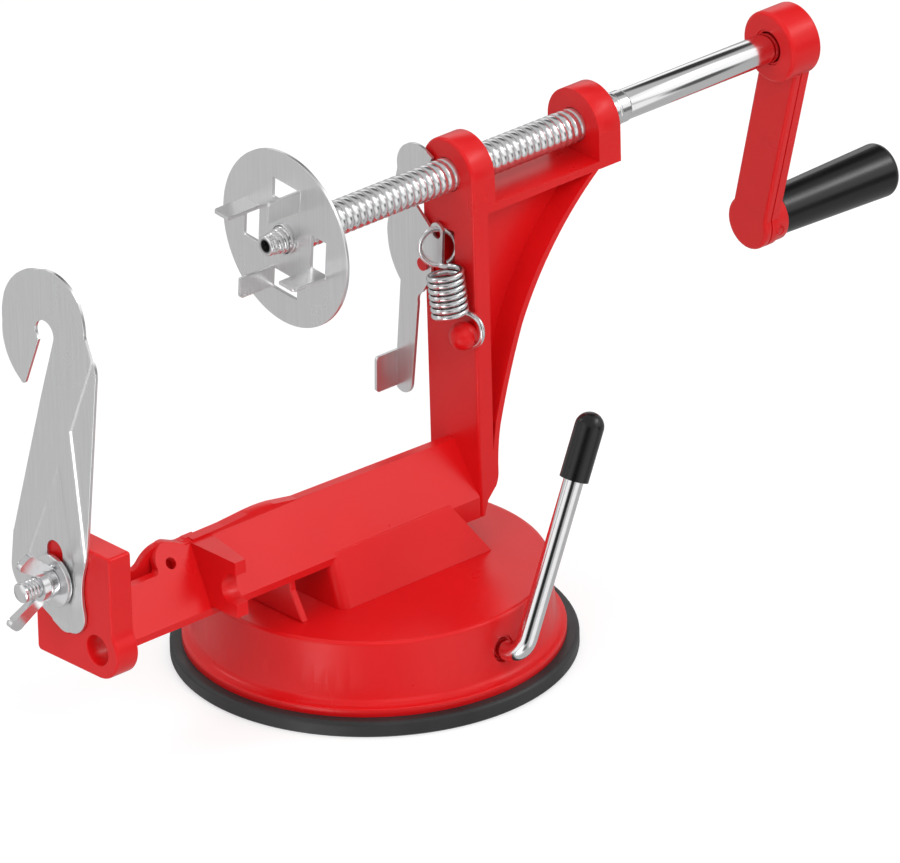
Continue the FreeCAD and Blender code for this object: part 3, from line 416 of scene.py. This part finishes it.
def smooth_line(points, steps=8):
    """Catmull-Rom curve through points."""
    points = [Vector(p) for p in points]
    full = [points[0] * 2 - points[1]] + points + [points[-1] * 2 - points[-2]]
    line = []
    for a, b, c, d in zip(full, full[1:], full[2:], full[3:]):
        for k in range(steps):
            t = k / steps
            line.append(0.5 * (2 * b + (c - a) * t + (2 * a - 5 * b + 4 * c - d) * t * t
                               + (3 * b - a - 3 * c + d) * t ** 3))
    return line + [points[-1]]


def arc_points(first, middle, last, step=0.9):
    """Points after first on the arc through middle to last, all in (y, z)."""
    ax, ay = first
    bx, by = middle
    cx, cy = last
    d = 2 * (ax * (by - cy) + bx * (cy - ay) + cx * (ay - by))
    a2, b2, c2 = ax * ax + ay * ay, bx * bx + by * by, cx * cx + cy * cy
    ux = (a2 * (by - cy) + b2 * (cy - ay) + c2 * (ay - by)) / d
    uy = (a2 * (cx - bx) + b2 * (ax - cx) + c2 * (bx - ax)) / d
    r = math.hypot(ax - ux, ay - uy)
    start = math.atan2(ay - uy, ax - ux)
    mid = math.atan2(by - uy, bx - ux)
    end = math.atan2(cy - uy, cx - ux)
    turn = (end - start) % (2 * math.pi)
    if (mid - start) % (2 * math.pi) > turn:
        turn -= 2 * math.pi
    count = max(3, round(abs(turn) * r / step))
    turns = [start + turn * k / count for k in range(1, count + 1)]
    return [(ux + r * math.cos(angle), uy + r * math.sin(angle)) for angle in turns]


def outline_points(steps, step=0.9):
    """Points of a closed outline; a corner is (y, z), an arc is (mid_y, mid_z, y, z)."""
    line = [steps[0]]
    for one in steps[1:]:
        if len(one) == 2:
            length = math.hypot(one[0] - line[-1][0], one[1] - line[-1][1])
            count = max(1, round(length / step))
            start = line[-1]
            line += [(start[0] + (one[0] - start[0]) * k / count,
                      start[1] + (one[1] - start[1]) * k / count) for k in range(1, count + 1)]
        else:
            line += arc_points(line[-1], one[:2], one[2:], step)
    if math.hypot(line[0][0] - line[-1][0], line[0][1] - line[-1][1]) < 1e-6:
        line.pop()
    return line


def inside(point, loop):
    """Whether a (y, z) point lies inside a closed loop."""
    y, z = point
    odd = False
    for (y0, z0), (y1, z1) in zip(loop, loop[1:] + loop[:1]):
        if (z0 > z) != (z1 > z) and y < (y1 - y0) * (z - z0) / (z1 - z0) + y0:
            odd = not odd
    return odd


def line_distance(point, line):
    """Distance from a (y, z) point to an open line."""
    best = 1e9
    p = Vector(point)
    for a, b in zip(line, line[1:]):
        a, b = Vector(a), Vector(b)
        t = max(0.0, min(1.0, (p - a).dot(b - a) / (b - a).length_squared))
        best = min(best, (p - a - (b - a) * t).length)
    return best


def ease(value):
    """Smooth step from 0 to 1."""
    value = max(0.0, min(1.0, value))
    return value * value * (3 - 2 * value)


def pressed_sheet(name, loops, guides, relief, x0, x1, material, body, stands_for=(), grid=0.9,
                  round_edge=0.22):
    """Sheet in the YZ plane from x0 to x1, moved along +X by relief(y, z).

    loops are the outline and its holes; the mesh follows the guides, which are open lines."""
    lines = [outline_points(one, grid) for one in loops]
    flat, edges = [], []
    for line in lines:
        first = len(flat)
        flat += line
        edges += [(first + k, first + (k + 1) % len(line)) for k in range(len(line))]
    lows = [min(p[k] for p in lines[0]) for k in (0, 1)]
    highs = [max(p[k] for p in lines[0]) for k in (0, 1)]
    taken = list(flat)

    def free(spot, reach):
        """Whether the spot is on the sheet and farther than reach from each point taken."""
        return (inside(spot, lines[0]) and not any(inside(spot, hole) for hole in lines[1:])
                and min(math.hypot(spot[0] - p[0], spot[1] - p[1]) for p in taken) > reach)

    for line in guides:
        flat += [spot for spot in outline_points(line, grid * 0.6) if free(spot, grid * 0.35)]
    taken = list(flat)
    for row in range(int((highs[1] - lows[1]) / grid) + 1):
        for column in range(int((highs[0] - lows[0]) / grid) + 1):
            spot = (lows[0] + (column + 0.5 * (row % 2)) * grid, lows[1] + row * grid)
            if free(spot, grid * 0.5):
                flat.append(spot)
    cut = delaunay_2d_cdt([Vector(p) for p in flat], edges, [], 1, 1e-5)
    spots, triangles = cut[0], cut[2]
    kept = []
    for face in triangles:
        middle = sum((spots[i] for i in face), Vector((0, 0))) / len(face)
        if not any(inside(middle, hole) for hole in lines[1:]):
            kept.append(tuple(face))
    count = len(spots)
    verts = [(x0 + relief(p[0], p[1]), p[0], p[1]) for p in spots]
    verts += [(x1 + relief(p[0], p[1]), p[0], p[1]) for p in spots]
    sides = {}
    for face in kept:
        for a, b in zip(face, face[1:] + face[:1]):
            if (b, a) in sides:
                sides.pop((b, a))
            else:
                sides[(a, b)] = True
    faces = kept + [tuple(i + count for i in reversed(face)) for face in kept]
    faces += [(b, a, a + count, b + count) for a, b in sides]
    obj = add_piece(name, verts, faces, material, body, stands_for, crease=50)
    soften_edges(obj, round_edge, 50, weld=False)


def soften_edges(obj, width, degrees, weld=True):
    """Real rounding of the crisp edges; CAD meshes are first welded and their flat faces joined."""
    if weld:
        join = obj.modifiers.new("join", "WELD")
        join.merge_threshold = WELD_M
        flat = obj.modifiers.new("flat", "DECIMATE")
        flat.decimate_type = "DISSOLVE"
        flat.angle_limit = math.radians(FLAT_DEGREES)
        flat.delimit = {"NORMAL"}
    rounding = obj.modifiers.new("rounding", "BEVEL")
    rounding.width = width * MM
    rounding.segments = ROUNDING_SEGMENTS
    rounding.limit_method = "ANGLE"
    rounding.angle_limit = math.radians(degrees)
    rounding.harden_normals = False
    rounding.use_clamp_overlap = True


def dress(material, *nodes, rounding=0.0, degrees=35):
    """CAD nodes keep their shape and get a material and, where asked, rounded edges."""
    for node in nodes:
        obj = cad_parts[node]
        paint(obj, material)
        if rounding:
            soften_edges(obj, rounding, degrees)


def red_ring(name, body, mouth, way, inner, outer, length):
    """Plain collar from its mouth along way, with its mouth's edges broken."""
    mouth, way = Vector(mouth), Vector(way).normalized()
    side = way.orthogonal().normalized()
    other = way.cross(side)
    edge = min(COLLAR_EDGE, (outer - inner) / 3)
    profile = ((inner, length), (inner, edge), (inner + edge, 0.0), (outer - edge, 0.0),
               (outer, edge), (outer, length))
    rings = [circle_round(mouth + way * deep, side, other, r, COLLAR_SIDES) for r, deep in profile]
    verts, faces = skin(rings, wrap=True)
    add_piece(name, verts, faces, RED, body, crease=50)


# ---- base and frame ----
def base_pieces():
    dress(RED, "base_bell", "frame_column", "frame_trough", "frame_block", "frame_foot",
          "frame_gusset", rounding=0.45, degrees=30)
    dress(RED, "spring_post", "latch_pivot")
    for k, place in enumerate(DECK_MARKS):
        red_ring("pin_mark_%d" % k, "base", place, (0, 1, 0), DECK_MARK_R - DECK_MARK_WALL,
                 DECK_MARK_R, MARK_LEN)
    dress(RUBBER, "suction_pad")
    dress(BLACK, "pad_core", "lever_cam", "lever_cap")
    dress(PLATED, "pull_stud", "frame_screws", "axle_clip")
    dress(CHROME, "lever_rod")
    red_ring("lever_bush", "base", (AXLE_X, BUSH_Y, AXLE_Z), (0, 1, 0), ROD_R + BUSH_PLAY,
             LEVER_HOLE_R + BUSH_SEAT, BUSH_LEN)


# ---- screw, disc, spigot and crank ----
def threaded_screw():
    y, z, sides = 0.0, AXIS_Z, SCREW_SIDES
    start, last = SCREW[0].x, SCREW[1].x
    end = SLEEVE[0].x - SLEEVE_PLAY
    thread_end = end - NECK_LEN
    rings = circles_x([(start, SCREW_R - THREAD_CHAMFER)], y, z, sides)
    rings += thread_rings(start + THREAD_LEAD_IN, thread_end - THREAD_RUN_OUT, SCREW_R,
                          THREAD_DEPTH, THREAD_PITCH, y, z, sides)
    rings += circles_x([(thread_end, SCREW_R - THREAD_STEP), (thread_end, NECK_R), (end, NECK_R),
                        (end, CORE_R), (last, CORE_R)], y, z, sides)
    verts, faces = skin(rings)
    grooves = thread_grooves(verts, THREAD_DEPTH, y, z, SCREW_R, thread_end - THREAD_UNSHADED)
    add_piece("threaded_screw", verts, faces, THREADED, "spindle", ["lead_screw"], 60, grooves)


def threaded_spigot():
    y, z, sides = 0.0, AXIS_Z, SCREW_SIDES
    tip, root, disc_face = SPIGOT[0].x, SPIGOT[1].x, DISC[1].x
    rings = circles_x([(root, SKEWER_R), (tip, SKEWER_R), (tip, SPIGOT_TIP_R - TIP_CHAMFER_R),
                       (tip + TIP_CHAMFER, SPIGOT_TIP_R), (tip + TIP_LAND, SPIGOT_TIP_R)],
                      y, z, sides)
    rings += thread_rings(tip + SPIGOT_LEAD_IN, disc_face - SPIGOT_RUN_OUT, SPIGOT_R,
                          SPIGOT_DEPTH, SPIGOT_PITCH, y, z, sides, tip_r=SPIGOT_TIP_R)
    rings += circles_x([(disc_face, TAIL_R), (root, TAIL_R)], y, z, sides)
    verts, faces = skin(rings, wrap=True)
    grooves = thread_grooves(verts, SPIGOT_DEPTH, y, z, SPIGOT_R, root, SPIGOT_TIP_R)
    add_piece("threaded_spigot", verts, faces, THREADED, "spindle", ["spigot"], 60, grooves)


def spindle_pieces():
    threaded_screw()
    threaded_spigot()
    dress(SHEET, "prong_disc", rounding=0.18)
    dress(PLATED, "disc_nut", rounding=0.2)
    dress(CHROME, "spacer_sleeve", rounding=0.3)
    dress(RED, "crank_arm", rounding=0.4, degrees=30)
    sleeve_r = (SLEEVE[1].z - SLEEVE[0].z) / 2
    face = SLEEVE[1].x - BOSS_COVERS
    red_ring("boss_lip", "spindle", (face + LIP_BACK, 0.0, AXIS_Z), (1, 0, 0),
             sleeve_r + LIP_PLAY, sleeve_r + LIP_SEAT, LIP_LEN)
    red_ring("crank_pin_mark", "spindle", CRANK_MARK, (0, 1, 0), CRANK_MARK_IN_R, CRANK_MARK_R,
             MARK_LEN)
    dress(PLATED, "crank_screw", "grip_axle", "grip_retainer")
    dress(BLACK, "grip", "grip_plug")


# ---- latch and spring ----
def spring_wire():
    """Middle line of the spring's wire, how many of its points lie before the coil, and in it."""
    axis = (COIL_LOW - COIL_TOP).normalized()
    side = Vector((1, 0, 0))
    other = axis.cross(side)
    steps = round(COIL_TURNS * COIL_STEPS)
    length = (COIL_LOW - COIL_TOP).length - 2 * WIRE_R
    coil = []
    for k in range(steps + 1):
        turn = 2 * math.pi * (k / COIL_STEPS + COIL_START)
        place = COIL_TOP + axis * (WIRE_R + length * k / steps)
        coil.append(place + (side * math.cos(turn) + other * math.sin(turn)) * (COIL_R - WIRE_R))
    up = Vector((0, 0, 1))
    across = up.cross(EYE_FACES.normalized())
    turns = [2 * math.pi * (k / EYE_STEPS + EYE_START) for k in range(EYE_POINTS)]
    eye = [EYE_MIDDLE + (up * math.cos(turn) * EYE_TALLER + across * math.sin(turn)) * EYE_R
           for turn in turns]
    lead = smooth_line([eye[-1], (eye[-1] + coil[0]) / 2 + EYE_LEAD, coil[0]], 6)
    hook = smooth_line([coil[-1]] + [Vector(place) for place in HOOK], 6)
    return eye[:-1] + lead + coil[1:-1] + hook, len(eye) - 1 + len(lead), len(coil) - 2


def coil_grooves(verts, sides, before, coiled):
    """Painted shade on the coil where its wire faces the next turn."""
    axis = (COIL_LOW - COIL_TOP).normalized()
    grooves = [0.0] * len(verts)
    for ring in range(before, before + coiled):
        points = [Vector(v) for v in verts[ring * sides:(ring + 1) * sides]]
        middle = sum(points, Vector()) / sides
        for k, point in enumerate(points):
            along = abs((point - middle).dot(axis)) / WIRE_R
            grooves[ring * sides + k] = ease((along - COIL_SHADE_FROM) / COIL_SHADE_OVER)
    return grooves


def latch_pieces():
    dress(SHEET, "latch_plate", rounding=0.2)
    wire, before, coiled = spring_wire()
    verts, faces = tube(wire, WIRE_R)
    grooves = coil_grooves(verts, len(verts) // len(wire), before, coiled)
    obj = new_object("coil_spring", verts, faces, 60, grooves)
    paint(obj, THREADED)
    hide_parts("latch_spring")
    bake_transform(obj)


# ---- blade and its clamp ----
SLOT_HALF, SLOT_DOWN, SLOT_UP = 3.4, 4.3, 8.8
# Pressed steps of the sheet: a line, the corners that close the pressed side beyond it, how far
# back that side lies, over what width it falls, and whether it is right (1) or left (-1) of the
# line's run.
BLADE_STEPS = [
    ([(-20.0, 138.6), (-9.4, 113.4), (-14.2, 71.4)], [(-40, 60), (-40, 150)], 0.55, 0.85, 1),
    ([(10.6, 69.0), (-4.4, 101.9), (-9.0, 72.0)], [(-6.0, 50.0), (8.0, 50.0)], 0.34, 0.75, -1),
    ([(-17.6, 145.1), (11.6, 75.05)], [(60, 60), (60, 150)], 0.10, 0.85, -1)]
GUIDE_SHARES = (0.0, 0.33, 0.67, 1.0)


def blade_relief(y, z):
    """How far back the sheet lies; the ribs between the pressed panels stand proud."""
    depth = 0.0
    for line, beyond, deep, width, side in BLADE_STEPS:
        if inside((y, z), line + beyond):
            depth += deep * ease(line_distance((y, z), line) / width)
    return depth


def beside(line, away):
    """The line moved sideways in its plane, to the right of its run."""
    line = [Vector(p) for p in line]
    ways = [(b - a).normalized() for a, b in zip(line, line[1:])]
    rights = [Vector((way.y, -way.x)) for way in ways]
    moved = [line[0] + rights[0] * away]
    for k in range(1, len(line) - 1):
        both = rights[k - 1] + rights[k]
        moved.append(line[k] + both * away * 2 / both.length_squared)
    return [tuple(p) for p in moved + [line[-1] + rights[-1] * away]]


def blade_guides():
    """Lines that the sheet's mesh follows, so that its pressed steps stay crisp."""
    lines = []
    for line, beyond, deep, width, side in BLADE_STEPS:
        lines += [beside(line, side * width * share) for share in GUIDE_SHARES]
    return lines


def blade_outline():
    """Outline of the blade: its head by the screw's height, its foot by the bolt's."""
    a, b = AXIS_Z, BOLT_Z
    return [(1.6, a + 19.4), (-8.0, a + 19.9, -15.0, a + 15.0), (-17.2, a + 9.0, -17.6, a + 4.5),
            (-20.2, a - 2.0), (-21.1, a - 4.4, -21.2, a - 9.0), (-14.2, b + 8.5),
            (-12.5, b + 1.5, -13.0, b - 6.5), (-11.6, b - 12.5, -6.5, b - 14.9),
            (-4.0, b - 15.5, -1.4, b - 14.7), (9.6, b - 9.5), (17.6, b - 5.6, 18.6, b - 0.5),
            (17.3, b + 9.4), (9.6, a - 43.0), (2.5, a - 20.0), (-3.8, a - 0.9),
            (-0.4, a + 4.0, 2.85, a - 2.8), (9.2, a - 18.0), (10.2, a - 19.0, 11.6, a - 18.2),
            (17.0, a - 12.0, 18.6, a - 2.0), (15.6, a + 10.5, 1.6, a + 19.4)]


def blade_slot():
    left, right = BOLT_Y - SLOT_HALF, BOLT_Y + SLOT_HALF
    low, high = BOLT_Z - SLOT_DOWN, BOLT_Z + SLOT_UP
    return [(left, low), (BOLT_Y, low - SLOT_HALF, right, low), (right, high),
            (BOLT_Y, high + SLOT_HALF, left, high), (left, low)]


def threaded_bolt():
    y, z, sides = BOLT_Y, BOLT_Z, BOLT_SIDES
    tip, head = BOLT[0].x, BOLT[1].x
    shank = head - BOLT_HEAD
    rings = circles_x([(tip, BOLT_R - BOLT_CHAMFER_R), (tip + BOLT_CHAMFER, BOLT_R)], y, z, sides)
    chamfered = len(rings) * sides
    rings += thread_rings(tip + BOLT_LEAD_IN, shank, BOLT_R, BOLT_DEPTH, BOLT_PITCH, y, z, sides,
                          BOLT_STEPS)
    rings += circles_x([(shank, BOLT_HEAD_R - HEAD_EDGE), (shank + HEAD_EDGE, BOLT_HEAD_R),
                        (head - HEAD_FACE_EDGE, BOLT_HEAD_R), (head, BOLT_HEAD_R - HEAD_FACE_EDGE),
                        (head, HEAD_SOCKET_R), (head - HEAD_SOCKET, HEAD_SOCKET_END_R)],
                       y, z, sides)
    verts, faces = skin(rings)
    grooves = thread_grooves(verts, BOLT_DEPTH, y, z, BOLT_R, shank - BOLT_UNSHADED)
    grooves[:chamfered] = [0.0] * chamfered
    add_piece("threaded_bolt", verts, faces, THREADED, "base", ["blade_bolt"], 40, grooves)


def blade_pieces():
    pressed_sheet("pressed_blade", [blade_outline(), blade_slot()], blade_guides(), blade_relief,
                  BLADE[0].x, BLADE[1].x, SHEET, "cutter", ["blade"])
    threaded_bolt()
    dress(PLATED, "blade_washer", rounding=0.25)
    dress(PLATED, "wing_nut", rounding=0.5)


# ---- stage ----
# What shiny surfaces see: a soft studio of pale and dark cards. Each is a direction, the degrees
# at which it is full and at which it has faded out, and its level.
FLOOR_LEVEL, SKY_LEVEL = 0.50, 0.55
HORIZON = (-0.12, 0.16)         # the floor passes into the sky between these heights
CARDS = [((-0.593, 0.678, -0.435), 18, 40, 0.60),
         ((-0.660, 0.610, 0.440), 8, 17, 0.15),
         ((-0.400, 0.690, 0.600), 5, 11, 3.50),
         ((0.593, 0.678, 0.38), 9, 19, 1.15),
         ((-0.780, -0.420, -0.440), 18, 31, 1.20),
         ((-0.870, -0.220, -0.440), 7, 14, 4.00),
         ((-0.593, -0.678, -0.435), 9, 16, 0.22),
         ((0.593, -0.620, 0.500), 24, 32, 1.15),
         ((0.593, -0.450, 0.640), 5, 13, 3.00),
         ((-0.930, 0.200, 0.240), 22, 36, 1.05),
         ((0.120, -0.950, -0.240), 16, 28, 1.00),
         ((-0.740, -0.660, 0.100), 12, 22, 0.02),
         ((0.593, -0.800, -0.100), 7, 14, 0.10),
         ((0.375, 0.818, -0.435), 10, 24, 0.15),
         ((0.593, 0.400, 0.700), 11, 23, 0.04)]
# What dull surfaces see, and what the camera sees.
DIFFUSE_LEVEL, BACKDROP_LEVEL = 0.40, 1.0
FLOOR_REACH_M, FLOOR_DROP_M = 6.0, 0.0002
MIDDLE_M = (0.0, 0.0, 0.08)
# Lamps: place and size in metres, watts, and whether shiny surfaces see them.
LAMPS = [("key", (-0.3, -1.1, 1.0), (0.9, 0.9), 9, False),
         ("side", (-1.2, -0.1, 0.7), (0.8, 0.8), 5, False),
         ("top", (0.3, 0.3, 1.5), (1.2, 1.2), 8, False),
         ("strip", (0.95, -0.88, 1.0), (1.0, 0.22), 2.4, True)]


def lamp(name, place, size, energy, seen_in_gloss):
    """Area lamp that points at the middle of the object."""
    data = bpy.data.lights.new(name, "AREA")
    data.shape = "RECTANGLE"
    data.size, data.size_y = size
    data.energy = energy
    obj = bpy.data.objects.new(name, data)
    obj.location = place
    obj.rotation_euler = (Vector(MIDDLE_M) - Vector(place)).to_track_quat("-Z", "Y").to_euler()
    obj.visible_glossy = seen_in_gloss
    bpy.context.collection.objects.link(obj)


def studio_level(tree):
    """Brightness of the studio by direction, painted card by card over floor and sky."""
    way = add_node(tree, "ShaderNodeTexCoord").outputs["Generated"]
    parts = add_node(tree, "ShaderNodeSeparateXYZ")
    tree.links.new(way, parts.inputs["Vector"])
    level = remap(tree, parts.outputs["Z"], FLOOR_LEVEL, SKY_LEVEL, *HORIZON, "SMOOTHSTEP")
    for direction, full, faded, bright in CARDS:
        aim = add_node(tree, "ShaderNodeVectorMath", operation="DOT_PRODUCT")
        aim.inputs[1].default_value = Vector(direction).normalized()
        tree.links.new(way, aim.inputs[0])
        edges = [math.cos(math.radians(degrees)) for degrees in (faded, full)]
        mask = remap(tree, aim.outputs["Value"], 0, 1, *edges, "SMOOTHSTEP")
        mix = add_node(tree, "ShaderNodeMix", data_type="FLOAT")
        tree.links.new(mask, mix.inputs[0])
        tree.links.new(level, mix.inputs[2])
        mix.inputs[3].default_value = bright
        level = mix.outputs[0]
    return level


def mix_shaders(tree, share, first, second):
    """Shader that is first where the share is 0 and second where it is 1."""
    mix = add_node(tree, "ShaderNodeMixShader")
    for output, socket in zip((share, first, second), mix.inputs):
        tree.links.new(output, socket)
    return mix.outputs[0]


def floor_paper():
    """White paper for the camera, with its shadow; shiny surfaces see the studio through it."""
    material = bpy.data.materials.new("floor_paper")
    material.use_nodes = True
    tree = material.node_tree
    tree.nodes.clear()
    out = add_node(tree, "ShaderNodeOutputMaterial")
    seen = add_node(tree, "ShaderNodeLightPath")
    plain = add_node(tree, "ShaderNodeBsdfDiffuse", Color=(0.80, 0.80, 0.80, 1))
    dim = add_node(tree, "ShaderNodeBsdfDiffuse", Color=(0.50, 0.50, 0.50, 1))
    glow = add_node(tree, "ShaderNodeEmission", Color=(1, 1, 1, 1), Strength=0.58)
    clear = add_node(tree, "ShaderNodeBsdfTransparent")
    lit = add_node(tree, "ShaderNodeAddShader")
    tree.links.new(dim.outputs[0], lit.inputs[0])
    tree.links.new(glow.outputs[0], lit.inputs[1])
    for_camera = mix_shaders(tree, seen.outputs["Is Camera Ray"], plain.outputs[0], lit.outputs[0])
    for_shine = mix_shaders(tree, seen.outputs["Is Glossy Ray"], for_camera, clear.outputs[0])
    tree.links.new(for_shine, out.inputs["Surface"])
    return material


def studio_world():
    """White for the camera, the studio's cards for shiny surfaces, even light for the rest."""
    world = bpy.data.worlds.new("studio")
    bpy.context.scene.world = world
    world.use_nodes = True
    tree = world.node_tree
    tree.nodes.clear()
    out = add_node(tree, "ShaderNodeOutputWorld")
    seen = add_node(tree, "ShaderNodeLightPath")
    soft = add_node(tree, "ShaderNodeBackground", Color=(1, 1, 1, 1), Strength=DIFFUSE_LEVEL)
    studio = add_node(tree, "ShaderNodeBackground", Color=(1, 1, 1, 1))
    plain = add_node(tree, "ShaderNodeBackground", Color=(1, 1, 1, 1), Strength=BACKDROP_LEVEL)
    tree.links.new(studio_level(tree), studio.inputs["Strength"])
    for_shine = mix_shaders(tree, seen.outputs["Is Glossy Ray"], soft.outputs[0], studio.outputs[0])
    for_camera = mix_shaders(tree, seen.outputs["Is Camera Ray"], for_shine, plain.outputs[0])
    tree.links.new(for_camera, out.inputs["Surface"])


def stage():
    floor = bpy.data.meshes.new("floor")
    corners = [(x * FLOOR_REACH_M, y * FLOOR_REACH_M, 0)
               for x, y in ((-1, -1), (1, -1), (1, 1), (-1, 1))]
    floor.from_pydata(corners, [], [(0, 1, 2, 3)])
    obj = bpy.data.objects.new("floor", floor)
    obj.location = (0, 0, -FLOOR_DROP_M)
    bpy.context.collection.objects.link(obj)
    floor.materials.append(floor_paper())
    studio_world()
    for one in LAMPS:
        lamp(*one)


# ---- camera ----
AZIMUTH, ELEVATION, ROLL = -41.18, 25.79, 1.44
FOCAL_PIXELS, PHOTO_WIDTH, SENSOR_MM = 14358, 900, 36
OBJECT_SEEN = Vector((-22.0, -62.4, -4202.3))   # the object's origin, in the camera's own axes
CLIP_START_M, CLIP_END_M = 0.1, 40


def camera():
    """The photograph's own view, as fitted to it."""
    a, e, roll = (math.radians(v) for v in (AZIMUTH, ELEVATION, ROLL))
    back = Vector((math.sin(a) * math.cos(e), -math.cos(a) * math.cos(e), math.sin(e)))
    right = Vector((math.cos(a), math.sin(a), 0))
    up = back.cross(right)
    cos, sin = math.cos(roll), math.sin(roll)
    axes = Matrix((right * cos - up * sin, right * sin + up * cos, back)).transposed()
    data = bpy.data.cameras.new("camera")
    data.sensor_width = SENSOR_MM
    data.lens = FOCAL_PIXELS * SENSOR_MM / PHOTO_WIDTH
    data.clip_start, data.clip_end = CLIP_START_M, CLIP_END_M
    obj = bpy.data.objects.new("camera", data)
    obj.matrix_world = Matrix.Translation(-(axes @ (OBJECT_SEEN * MM))) @ axes.to_4x4()
    bpy.context.collection.objects.link(obj)
    bpy.context.scene.camera = obj


base_pieces()
spindle_pieces()
latch_pieces()
blade_pieces()
stage()
camera()
bpy.context.scene.view_settings.view_transform = "Standard"
